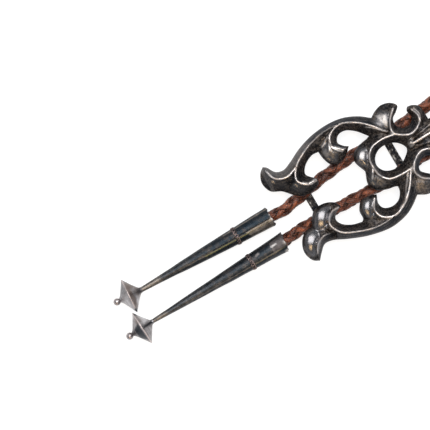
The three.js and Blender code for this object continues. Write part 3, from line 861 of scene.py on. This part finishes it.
def rise_of_face(edge_gap, ridge_gap, level, lobe, from_top):
    """Ridges, slopes and lobes: 0 at the height of the edge, 1 at that of the highest crest."""
    hollow = 1.25            # 1 gives straight slopes
    shoulder_width = 1.7
    lobe_height = 0.87
    groove_from_crest = 0.65
    groove_width = 0.45
    groove_depth = 0.1
    rib_width = 0.8
    from_crest = np.sqrt(ridge_gap**2 + CREST_ROUNDING**2) - CREST_ROUNDING
    slope = (edge_gap / (edge_gap + from_crest + 1e-6)) ** hollow * level
    shoulder = np.sqrt(1 - (1 - np.clip(edge_gap / shoulder_width, 0, 1)) ** 2)
    groove = groove_depth * np.exp(-(((ridge_gap - groove_from_crest) / groove_width) ** 2))
    fall = from_top**2 / (2 * LOBE_CURVE_RADIUS * (CREST_TOP - EDGE_HEIGHT))
    dome = shoulder * (lobe_height - fall) - groove
    rib = np.clip(1 - from_crest / rib_width, 0, 1) * np.clip(edge_gap / rib_width, 0, 1) * level
    return slope * (1 - lobe) + np.maximum(rib, dome) * lobe


def add_flats(points, z, polish):
    """Lays the small flats into the face and polishes them."""
    for first, last, half_width, degrees in FLATS:
        along = np.subtract(last, first)
        share = np.clip((points - first) @ along / (along @ along), 0, 1)
        offset = points - first - share[:, None] * along
        start_height = z[np.argmin(np.hypot(*(points - first).T))]
        drop = math.tan(math.radians(degrees)) * (offset @ PICTURE_DOWN)
        cover = np.exp(-((np.hypot(*offset.T) / half_width) ** 4))
        z = z * (1 - cover) + (start_height - drop) * cover
        polish = np.maximum(polish, cover)
    return z, polish


def wing_sheen_and_shade(points, edge_gap):
    """Painted highlight along the wings' outer edges, painted shade on the slopes outside their
    crests, and a darker lower left.
    """
    x, y = points.T
    outer = ~inside(points, smooth_curve(WING_CRESTS, 0.3)) & (y < 2) & (y > -36)
    low_left = smooth_step(16, 22, -y) * (x < 0)
    # Painted highlight along the outer edges, reaching further in at the lower left.
    reach = np.where(x > 0, 0.4, 0.3 + 0.8 * low_left)
    edge_sheen = np.where(outer, (0.45 + 0.2 * low_left) * np.exp(-edge_gap / reach), 0)
    # The face darkens towards the lower left; the slopes outside the crests get painted shade, a
    # little less at the lower left.
    darker_lower_left = smooth_step(21, 27, -y) * smooth_step(0, 3, -x) * np.clip(edge_gap, 0, 1)
    return edge_sheen, np.where(outer, 1 - 0.6 * low_left, darker_lower_left)


def relief(points, edges, ridges, fine_lines):
    """Height of the casting's face at each plan point, and what the material needs."""
    edge_gap, _ = edges.measure(points)
    ridge_gap, values = ridges.measure(points)
    fine_gap, _ = fine_lines.measure(points)
    level, shine = values.T
    lobe, from_top = lobe_shape(points)
    fine = np.exp(-((fine_gap / 0.24) ** 2))
    from_boss = np.hypot(*(points - BOSS_CENTRE).T)
    boss = 0.85 * np.sqrt(np.clip(1 - (from_boss / BOSS_RADIUS) ** 2, 0, 1))
    rise = rise_of_face(edge_gap, ridge_gap, level, lobe, from_top) + 0.09 * fine
    rise = np.maximum(rise, boss)
    edge_drop = 0.3 * (1 - np.clip(edge_gap / 0.3, 0, 1)) ** 2
    z = EDGE_HEIGHT + (CREST_TOP - EDGE_HEIGHT) * rise - edge_drop
    z, polish = add_flats(points, z, lobe * np.clip(edge_gap - 0.4, 0, 1))
    crest = np.exp(-((ridge_gap / 0.31) ** 2)) * smooth_step(0.2, 0.6, level) * shine
    edge_sheen, shade = wing_sheen_and_shade(points, edge_gap)
    return z, {
        "rise": rise, "crest": np.maximum(crest, 0.8 * fine), "ridge_gap": ridge_gap,
        "polish": polish, "edge_sheen": edge_sheen,
        "shade": np.maximum(shade, painted(points, SHADED)), "rubbed_and_highlit": painted(points, RUBBED_AND_HIGHLIT),
    }


def rows_beside(line, along, offsets):
    """Copies of a line on both sides of it, at each offset."""
    side = np.column_stack([-along[:, 1], along[:, 0]])
    return [line + side * offset * way for offset in offsets for way in (1, -1)]


def plan_samples(outlines, ridge_lines, spacing):
    """Points on the casting's plan: rows beside each ridge and edge, and a grid between."""
    candidates = []
    for line in ridge_lines:
        candidates += rows_beside(line, unit(np.gradient(line, axis=0)), (0.12, 0.27, 0.46))
    for line in outlines:
        candidates += rows_beside(line, tangents_round(line), (0.12, 0.3))
    low = outlines[0].min(axis=0)
    high = outlines[0].max(axis=0)
    row_gap = spacing * 0.866
    for index, y in enumerate(np.arange(low[1], high[1], row_gap)):
        x = np.arange(low[0] + (index % 2) * spacing / 2, high[0], spacing)
        candidates.append(np.column_stack([x, np.full(len(x), y)]))
    points = np.vstack(candidates)
    return points[on_casting(points, outlines)]


def thin_out(points, least):
    """Drops points that lie closer than least to one already kept."""
    kept = []
    cells = {}
    for x, y in points:
        cell = (int(x // least), int(y // least))
        near = (p for i in (-1, 0, 1) for j in (-1, 0, 1)
                for p in cells.get((cell[0] + i, cell[1] + j), ()))
        if all((x - px) ** 2 + (y - py) ** 2 > least * least for px, py in near):
            cells.setdefault(cell, []).append((x, y))
            kept.append((x, y))
    return np.array(kept)


def loop_edges(count, start):
    return [(start + i, start + (i + 1) % count) for i in range(count)]


def triangulate(outlines, open_lines, extra):
    """Triangles over the plan that keep every outline and ridge as edges."""
    points, edges = [], []
    start = 0
    for line in outlines:
        points.append(line)
        edges += loop_edges(len(line), start)
        start += len(line)
    for line in open_lines:
        points.append(line)
        edges += [(start + i, start + i + 1) for i in range(len(line) - 1)]
        start += len(line)
    points.append(extra)
    flat = [Vector((float(x), float(y))) for x, y in np.vstack(points)]
    found, _, faces, *_ = delaunay_2d_cdt(flat, edges, [], 0, 1e-5, False)
    plan = np.array([(p.x, p.y) for p in found])
    faces = np.array([f for f in faces if len(f) == 3])
    middles = plan[faces].mean(axis=1)
    return plan, faces[on_casting(middles, outlines)]


def border_edges(faces):
    """Directed edges that only one triangle has."""
    directed = {(f[i], f[(i + 1) % 3]) for f in faces for i in range(3)}
    return [(a, b) for a, b in directed if (b, a) not in directed]


def compact(plan, faces):
    """Drops unused points."""
    used = np.unique(faces)
    renumber = np.full(len(plan), -1)
    renumber[used] = np.arange(len(used))
    return plan[used], renumber[faces]


def face_mesh(outlines, edges, ridges, step):
    """Fine triangles for the face, with rows of points along the ridges and edges."""
    spacing = 0.36
    closest = 0.105
    lines = [smooth_curve(ridge[-1], step) for ridge in RIDGES]
    extra = plan_samples(outlines, lines, spacing)
    edge_gap, _ = edges.measure(extra)
    ridge_gap, _ = ridges.measure(extra)
    clear = (edge_gap > 0.08) & (ridge_gap > 0.09)
    return compact(*triangulate(outlines, lines, thin_out(extra[clear], closest)))


def back_mesh(outlines, edges):
    """Coarse triangles for the flat back."""
    spacing = 1.3
    closest = 0.8
    extra = plan_samples(outlines, [], spacing)
    edge_gap, _ = edges.measure(extra)
    clear = edge_gap > 0.5
    return compact(*triangulate(outlines, [], thin_out(extra[clear], closest)))


def make_casting(material):
    """The openwork slide: its face in relief, upright walls and a flat back."""
    step = 0.34
    close = 0.06
    wall_ring = 0.45
    both = (OUTLINE, RING_OPENING)
    outlines = [outline_of(runs, step) for runs in both]
    edges = Nearest([outline_of(runs, close) for runs in both])
    crests = [smooth_curve(ridge[-1], close) for ridge in RIDGES]
    ridges = Nearest(crests, [ridge_values(ridge[:2], ridge[2:4], crest)
                              for ridge, crest in zip(RIDGES, crests)])
    fine_lines = Nearest([smooth_curve(points, close) for points in FINE_LINES])
    plan, face_triangles = face_mesh(outlines, edges, ridges, step)
    z, finish = relief(plan, edges, ridges, fine_lines)

    vertices = np.column_stack([plan, z])
    faces = list(face_triangles)
    border = border_edges(face_triangles)
    rim = sorted({i for edge in border for i in edge})
    row = {i: i for i in rim}
    for height in (CASTING_BACK + wall_ring, CASTING_BACK):
        lower = {i: len(vertices) + place for place, i in enumerate(rim)}
        faces += [(row[b], row[a], lower[a], lower[b]) for a, b in border]
        vertices = np.vstack([vertices, np.column_stack([plan[rim], np.full(len(rim), height)])])
        row = lower

    back_plan, back_triangles = back_mesh(outlines, edges)
    known = {tuple(np.round(plan[i], 3)): row[i] for i in rim}
    numbers, added = [], []
    for point in back_plan:
        key = tuple(np.round(point, 3))
        if key not in known:
            known[key] = len(vertices) + len(added)
            added.append((*point, CASTING_BACK))
        numbers.append(known[key])
    faces += [(numbers[c], numbers[b], numbers[a]) for a, b, c in back_triangles]
    vertices = np.vstack([vertices, added])

    casting = make_object("cast_slide", vertices, faces, material, "slide",
                          ["slide_casting"], sharp=48)
    below = {"rise": 0.1, "ridge_gap": 2.0, "edge_sheen": 0.1}
    add_attributes(casting, {
        name: np.concatenate([values, np.full(len(vertices) - len(plan), below.get(name, 0.0))])
        for name, values in finish.items()
    })


def arc(x, y, radius, start, end):
    """Seven points on an arc, from one angle to another in degrees."""
    return [(x + radius * math.cos(a), y + radius * math.sin(a))
            for a in np.radians(np.linspace(start, end, 7))]


def make_keeper(node, material):
    """A bent strip of two half-round ribs, with its feet soldered to the casting's back."""
    low, high = plan_box(node)
    thick = 1.3
    bend = 0.9
    half, half_width, _ = (high - low) / 2
    foot = half - thick / 2
    foot_top = CASTING_BACK + 0.1
    bend_z = thick / 2 + bend
    centre = [(-foot, foot_top)]
    centre += arc(-foot + bend, bend_z, bend, 180, 270)
    centre += [(x, thick / 2) for x in np.linspace(-half + 3, half - 3, 12)]
    centre += arc(foot - bend, bend_z, bend, 270, 360)
    centre += [(foot, foot_top)]
    line = np.array([(x, 0, z) for x, z in centre])
    inward = np.cross((0, 1, 0), unit(np.gradient(line, axis=0)))
    section = [(-1, -0.5), (-0.95, 0.05), (-0.75, 0.4), (-0.5, 0.5), (-0.22, 0.38), (0, 0.12),
               (0.22, 0.38), (0.5, 0.5), (0.75, 0.4), (0.95, 0.05), (1, -0.5)]
    vertices = np.array([point + (0, across * half_width, 0) + direction * lift * thick
                         for point, direction in zip(line, inward) for across, lift in section])
    vertices += (low + high) / 2 * (1, 1, 0)
    make_object(f"{node}_strip", vertices, tube_faces(len(line), len(section)), material,
                "slide", [node], sharp=40)


# ---- tips ---------------------------------------------------------------------------

def tip_matrix(tip):
    """From the tip's own frame, mouth at the origin and ball at -Y, to the plan frame."""
    rim_distance = tip["shaft"] + GAP + tip["bicone"] / 2
    pitch = math.asin((tip["rim"] - MOUTH_RADIUS) / rim_distance)
    return (Matrix.Translation((*tip["mouth"], MOUTH_RADIUS * math.cos(pitch)))
            @ Matrix.Rotation(math.radians(tip["yaw"]), 4, "Z") @ Matrix.Rotation(-pitch, 4, "X"))


def bicone_matrix(tip):
    """The same for the bicone, which leans a little about the shaft's end."""
    top = -tip["shaft"] - GAP
    return (tip_matrix(tip) @ Matrix.Translation((0, top, 0))
            @ Matrix.Rotation(math.radians(tip["lean"]), 4, "Z")
            @ Matrix.Translation((0, -top, 0)))


def place_points(points, matrix):
    m = np.array(matrix)
    return points @ m[:3, :3].T + m[:3, 3]


def revolve(profile, sides, shape):
    """A closed surface about the Y axis; shape gives the radius and y at each angle."""
    vertices = []
    for radius, y in profile:
        for k in range(sides):
            angle = 2 * math.pi * k / sides
            r, along = shape(radius, y, angle)
            vertices.append((r * math.sin(angle), along, r * math.cos(angle)))
    last = (len(profile) - 1) * sides
    ends = [range(sides - 1, -1, -1), range(last, last + sides)]
    return np.array(vertices), grid_faces(len(profile), sides) + ends


def make_tip_piece(tip, name, node, vertices, faces, material, sharp=None):
    return make_object(f"{tip['body']}_{name}", vertices, faces, material, tip["body"],
                       [f"{tip['body']}_{node}"], sharp)


def shaft_radius(tip, distance):
    """A straight taper, swollen a little over the first two thirds of the left tip."""
    straight = MOUTH_RADIUS + (tip["end"] - MOUTH_RADIUS) * distance / tip["shaft"]
    return straight + tip["swell"] * math.sin(math.pi * min(1, distance / 34)) ** 0.6


def painted_top(vertices, paint):
    """Each kind of paint, on a tip's upper side only."""
    above = vertices[:, 2] > -0.8
    return {kind: painted(vertices, patches) * above for kind, patches in paint.items()}


def make_shaft(tip, material):
    """Sheet rolled into a long cone, with a soldered seam, small dents and a ragged mouth."""
    seed = tip["seed"]
    seam_depth = 0.1
    seam_width = 0.2
    dent_depth = 0.07
    mouth_reach = 0.9
    flare = 0.04
    sides = 96

    def shape(radius, y, angle):
        seam_angle = math.asin(min(0.9, tip["seam"] / max(radius, 0.1)))
        from_seam = math.remainder(angle - seam_angle, 2 * math.pi) * radius
        seam = seam_depth * math.exp(-((from_seam / seam_width) ** 2))
        dent = dent_depth * wobble_round(3, y, angle, 5, seed)
        near_mouth = math.exp(y / mouth_reach)
        ragged = 0.42 * wobble_round(3, 0, angle, 1.1, seed)
        ragged += 0.3 * wobble_round(3, 4, angle, 0.4, seed)
        slant = tip["cut"] * math.sin(angle) - 0.25
        r = radius * (1 + near_mouth * flare) + (dent - seam) * min(1, radius / 1.5)
        return r, y + near_mouth * (ragged + slant)

    depths = [0, 0.25, 0.6, 1.1, 1.8, *np.linspace(2.6, tip["shaft"], 90)]
    outer = [(shaft_radius(tip, d), -d) for d in reversed(depths)]
    lip = [(MOUTH_RADIUS - 0.12, 0.1), (BORE_RADIUS + 0.12, 0.08)]
    bore = [(BORE_RADIUS, -0.2), (BORE_RADIUS, -1.2), (2.4, -5), (2.1, -BORE_DEPTH)]
    vertices, faces = revolve(outer + lip + bore, sides, shape)
    shaft = make_tip_piece(tip, "rolled_shaft", "shaft", place_points(vertices, tip_matrix(tip)),
                           faces, material, sharp=50)
    paint = painted_top(vertices, SHAFT_PAINT[tip["body"]])
    chipped = np.exp(-np.clip(-vertices[:, 1] - 0.1, 0, None) / 0.25)
    chipped[(len(depths) + 1) * sides:] = 0.6
    paint["wear"] = np.maximum(chipped, paint["wear"])
    paint["aged"] = tip["aged"] + 0.4 * smooth_step(14, 40, -vertices[:, 1])
    add_attributes(shaft, paint)


# Where a tip is tan, worn or tarnished, and where highlight and shade are painted on it, seen
# from above in its own frame: the corners of each patch, clockwise, its strength and its blur.
SHAFT_PAINT = {
    "tip_left": {
        "tan": [
            ([(0.5, 1), (3.6, 1), (2.9, -7.9), (0.62, -9.2)], 0.9, 0.12),
            ([(0.3, -21), (0.6, -21), (0.35, -44), (0.1, -44)], 0.4, 0.2),
            ([(-0.6, -40), (0.9, -40), (0.9, -46.5), (-0.6, -46.5)], 0.8, 1.3),
            ([(-2.9, 0.6), (-2.6, 0.6), (-1.9, -16), (-2.15, -16)], 0.75, 0.13),
        ],
        "brass": [
            ([(0.95, -1), (1.2, -1), (1.25, -9), (1, -9)], 0.25, 0.15),
            ([(0.98, -8), (1.3, -8), (1.02, -24), (0.75, -24)], 0.75, 0.15),
        ],
        "wear": [],
        # Chips of bare metal at the mouth.
        "chips_and_highlights": [
            ([(0.1, 1), (1.4, 1), (1.2, -0.5), (0.2, -0.5)], 0.6, 0.2),
            ([(-1.3, 1), (-0.3, 1), (-0.5, -0.35), (-1.1, -0.35)], 0.4, 0.15),
        ],
    },
    "tip_right": {
        "tan": [
            ([(1.15, -2), (1.5, -2), (1.2, -22), (0.95, -22)], 0.7, 0.15),
            ([(0.9, -21), (1.2, -21), (0.6, -44), (0.4, -44)], 0.4, 0.2),
            ([(-0.7, -43.5), (0.9, -43.5), (0.9, -48.4), (-0.7, -48.4)], 0.6, 1.2),
        ],
        "brass": [
            ([(1.25, -1), (1.5, -1), (1.4, -12), (1.15, -12)], 0.2, 0.15),
        ],
        # Worn metal; the patch right of the mouth and the small one lower down also stand in for
        # reflections, as painted highlight.
        "wear": [
            ([(-3.0, 1), (1.15, 1), (1.2, -4.9), (-2.0, -4.9)], 0.72, 0.12),
            ([(1.7, 1), (3.8, 1), (3.8, -2.4), (2.5, -1.6)], 0.9, 0.3),
            ([(-1.5, -9), (-0.7, -8.8), (-0.3, -10.6), (-1.3, -10.4)], 0.7, 0.25),
        ],
        # Painted highlights: a streak down the worn patch, the mouth's right side and a small
        # spot lower down; the patch at the middle of the mouth is a chip.
        "chips_and_highlights": [
            ([(-1.15, -2.8), (-0.75, -2.8), (-0.5, -4.7), (-1.2, -4.7)], 0.6, 0.2),
            ([(-0.7, 1), (0.7, 1), (0.5, -0.7), (-0.5, -0.7)], 0.5, 0.3),
            ([(1.8, 1), (3.4, 1), (3.4, -1.6), (2.4, -1.2)], 0.4, 0.3),
            ([(-1.4, -9.2), (-1.0, -9.0), (-0.6, -10.3), (-1.2, -10.2)], 0.2, 0.2),
        ],
    },
}
BICONE_PAINT = {
    "tip_left": {
        "brown": [
            ([(-3.2, -49.3), (5.2, -49.3), (5.2, -50.6), (-2.5, -50.6)], 0.7, 0.45),
            ([(-4.6, -49.6), (-0.5, -49.3), (-0.5, -50.5), (-4.2, -50.4)], 0.75, 0.4),
            ([(-1.6, -46.5), (1.6, -46.5), (2.0, -48.4), (-2.0, -48.4)], 0.45, 0.5),
            ([(-4.6, -48.6), (-1.8, -47.8), (-2, -49.9), (-5.6, -50.4)], 0.75, 0.5),
        ],
        # Painted shade: the neck, the rim's end where the bicones meet, and the lower cone's left
        # side.
        "painted_shade": [
            ([(-0.9, -46.5), (0.9, -46.5), (1.0, -48), (-1.0, -48)], 0.6, 0.4),
            ([(4.3, -50.2), (5.9, -50), (5.9, -50.9), (4.3, -51.3)], 1.0, 0.15),
            ([(-5.8, -50.8), (-1.6, -50.9), (-1.2, -53), (-3.6, -52.4)], 0.45, 0.7),
        ],
        # Painted highlight: pale reflections on the lower cone and on the upper cone's right
        # slope.
        "pale": [
            ([(-0.8, -51.3), (4.2, -51.3), (1.4, -53.5), (-0.4, -53.5)], 0.28, 0.7),
            ([(1.2, -47), (4.6, -49.2), (2.6, -49.2), (0.9, -47.8)], 0.5, 0.5),
        ],
    },
    "tip_right": {
        "brown": [
            ([(-5.4, -50.9), (-2, -50.6), (-2, -52), (-5.4, -52)], 0.35, 0.4),
            ([(-3.9, -52.2), (-1.6, -52.2), (-1.6, -53), (-3.2, -53)], 0.5, 0.3),
        ],
        # Painted shade and painted reflection: a dark streak down the upper cone, dark bands
        # below the rim, and the rim's end where the bicones meet.
        "painted_shade": [
            ([(-0.45, -48.4), (0.45, -48.4), (0.35, -51.9), (-0.35, -51.9)], 0.85, 0.25),
            ([(-2.1, -52.5), (4, -52.4), (2.6, -54.4), (-0.9, -54.5)], 1.0, 0.3),
            ([(-1.2, -54), (1.6, -54), (1.0, -55.6), (-0.8, -55.6)], 0.4, 0.5),
            ([(-5.9, -50.9), (-4.3, -50.8), (-4.1, -51.7), (-5.9, -52.2)], 1.0, 0.15),
        ],
        # Painted highlight: a pale reflection on the upper cone's left side, near the rim.
        "pale": [
            ([(-3.6, -50), (-1.2, -49.4), (-0.9, -51), (-3.8, -51.4)], 0.55, 0.5),
        ],
    },
}


def make_band(tip, material):
    """Two fine wires twisted together and soldered round the shaft."""
    base = shaft_radius(tip, BAND_FROM_MOUTH) - 0.02
    wire = 0.2
    twists = 9
    steps = 252
    loops = []
    for strand in range(2):
        centres = []
        for k in range(steps):
            angle = 2 * math.pi * k / steps
            twist = twists * angle + strand * math.pi
            radius = base + 0.07 * math.sin(twist)
            squeeze = 0.85 + 0.3 * wobble_round(3, 0, angle, 1.2, tip["seed"])
            along = -BAND_FROM_MOUTH + 0.6 * squeeze * math.cos(twist)
            centres.append((radius * math.sin(angle), along, radius * math.cos(angle)))
        loops.append(np.array(centres))
    outwards = [unit(loop * (1, 0, 1)) for loop in loops]
    vertices, faces = looped_tubes(loops, outwards, wire, wire, 8)
    make_tip_piece(tip, "twisted_wire", "band", place_points(vertices, tip_matrix(tip)), faces,
                   material)


def bicone_profiles(tip):
    """Profiles (radius, y) of the two cones and the soldered rim, from the shaft's end down."""
    top = -tip["shaft"] - GAP
    bottom = top - tip["bicone"]
    upper_height = tip["bicone"] / 2 + tip["rim_drop"]
    lower_height = tip["bicone"] / 2 - tip["rim_drop"]
    rim_at = top - upper_height
    rim = tip["rim"]
    neck = tip["end"] + 0.12
    spread = rim - 0.1 - neck
    curve = [(0, 0), (0.1, 0.055), (0.3, 0.24), (0.5, 0.445), (0.7, 0.66), (0.85, 0.825),
             (0.95, 0.94), (1, 1)]
    upper = [(neck * 0.9, top + 0.55), (neck, top + 0.15)]
    upper += [(neck + spread * r, top - (upper_height - 0.12) * d) for d, r in curve]
    upper += [(rim - 0.5, rim_at + 0.1)]
    lower = [(rim - 0.5, rim_at - 0.1)]
    lower += [(neck + spread * r, bottom + (lower_height - 0.12) * d) for d, r in reversed(curve)]
    lower += [(neck * 0.8, bottom - 0.25)]
    seam = [(rim - 0.7, rim_at + 0.1), (rim - 0.06, rim_at + 0.13), (rim, rim_at + 0.05),
            (rim, rim_at - 0.05), (rim - 0.06, rim_at - 0.13), (rim - 0.7, rim_at - 0.1)]
    return {"cone_upper": smooth_curve(upper, 0.25), "cone_lower": smooth_curve(lower, 0.25),
            "seam": seam}


def make_bicone(tip, material):
    """Two hammered cones, rim to rim, and the soldered rim between them."""
    names = {"cone_upper": "hammered_cone_upper", "cone_lower": "hammered_cone_lower",
             "seam": "soldered_rim"}

    def shape(radius, y, angle):
        dent = 0.06 * wobble_round(radius, y, angle, 2.2, tip["seed"])
        return radius * (1 + dent / 5.6), y + dent

    for node, profile in bicone_profiles(tip).items():
        vertices, faces = revolve(profile[::-1], 96, shape)
        piece = make_tip_piece(tip, names[node], node, place_points(vertices, bicone_matrix(tip)),
                               faces, material, sharp=35)
        radii = np.hypot(vertices[:, 0], vertices[:, 2])
        on_rim = node == "seam"
        most, reach = (tip["rim_wear"], 0.12) if on_rim else (0.25, 0.2)
        add_attributes(piece, {
            **painted_top(vertices, BICONE_PAINT[tip["body"]]),
            "wear": np.clip(most * np.exp(-(tip["rim"] - radii) / reach), 0, 1),
            "turn": np.abs(np.arctan2(vertices[:, 0], vertices[:, 2])),
            "reach": radii,
            "rim": np.full(len(radii), float(on_rim)),
        })


def make_ball(tip, material):
    """The small end ball, a drop of melted silver that is not quite round."""
    low, high = plan_box(f"{tip['body']}_ball")
    size = (high[0] - low[0]) / 2
    rows = 24

    def shape(radius, y, angle):
        bump = 1 + 0.02 * wobble(2 * radius * math.sin(angle), 2 * y,
                                 2 * radius * math.cos(angle), 1.1, tip["seed"])
        return size * bump * radius, size * bump * y

    polar = [math.pi * (r + 0.02) / (rows + 0.04) for r in range(rows, -1, -1)]
    vertices, faces = revolve([(math.sin(a), math.cos(a)) for a in polar], 36, shape)
    ball = make_tip_piece(tip, "melted_ball", "ball", vertices + (low + high) / 2, faces,
                          material)
    add_attributes(ball, {"wear": np.full(len(vertices), 0.3)})


# ---- floor and light ----------------------------------------------------------------

def make_floor():
    """Matt white paper."""
    half = 3.0
    mesh = bpy.data.meshes.new("floor")
    corners = [(-half, -half, 0), (half, -half, 0), (half, half, 0), (-half, half, 0)]
    mesh.from_pydata(corners, [], [(0, 1, 2, 3)])
    paper = Nodes("paper")
    paper.set_shader({
        "Base Color": (*grey(0.34), 1), "Roughness": 1, "Specular IOR Level": 0,
        "Emission Color": (*grey(1), 1), "Emission Strength": 0.8,
    })
    mesh.materials.append(paper.material)
    add_to_scene("floor", mesh)


def add_panel(name, azimuth, elevation, distance, size, radiance, colour):
    """A soft rectangular light that faces the tie. Azimuth is from +X towards +Y."""
    data = bpy.data.lights.new(name, "AREA")
    data.shape = "RECTANGLE"
    data.size, data.size_y = size
    data.energy = radiance * math.pi * size[0] * size[1]
    data.color = colour
    light = add_to_scene(name, data)
    a = math.radians(azimuth)
    e = math.radians(elevation)
    aim = Vector((0, RING_Y - 40 * MM, 0))
    direction = Vector((math.cos(a) * math.cos(e), math.sin(a) * math.cos(e), math.sin(e)))
    light.location = aim + direction * distance
    light.rotation_euler = direction.to_track_quat("Z", "Y").to_euler()


def make_world():
    """White surroundings near the horizon that fade to a dim ceiling."""
    world = bpy.data.worlds.new("studio")
    world.use_nodes = True
    tree = world.node_tree
    direction = tree.nodes.new("ShaderNodeTexCoord").outputs["Generated"]
    split = tree.nodes.new("ShaderNodeSeparateXYZ")
    ramp = tree.nodes.new("ShaderNodeValToRGB")
    background = tree.nodes["Background"]
    tree.links.new(direction, split.inputs["Vector"])
    tree.links.new(split.outputs["Z"], ramp.inputs["Fac"])
    tree.links.new(ramp.outputs["Color"], background.inputs["Color"])
    fill_ramp(ramp, [(0.0, grey(1)), (0.45, (0.42, 0.44, 0.47)), (1.0, (0.16, 0.18, 0.21))])
    background.inputs["Strength"].default_value = 1.1
    bpy.context.scene.world = world


def make_lights():
    picture_up = 180 - PICTURE_TILT
    add_panel("softbox", picture_up, 73, 1.4, (1.05, 1.05), 5.6, (1, 1, 1))
    add_panel("amber", picture_up + 180, 60, 0.9, (0.2, 0.3), 9.0, (1, 0.70, 0.36))


# ---- the scene ----------------------------------------------------------------------

make_camera()
bpy.context.scene.view_settings.view_transform = "Standard"

plain_leather = tie_leather()
cord, cord_path = make_cord(braid_leather())
coil_lace = make_coil_tie(plain_leather)

make_casting(cast_silver())
strip = strip_silver()
for node in ("keeper_upper", "keeper_lower"):
    make_keeper(node, strip)

shaft_material = shaft_silver()
wire_material = wire_silver()
bicone_material = bicone_silver()
for tip in TIPS:
    make_shaft(tip, shaft_material)
    make_band(tip, wire_material)
    make_bicone(tip, bicone_material)
    make_ball(tip, bicone_material)
    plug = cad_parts[f"{tip['body']}_cord_end"]
    plug.data.materials.clear()
    plug.data.materials.append(plain_leather)

make_floor()
make_world()
make_lights()
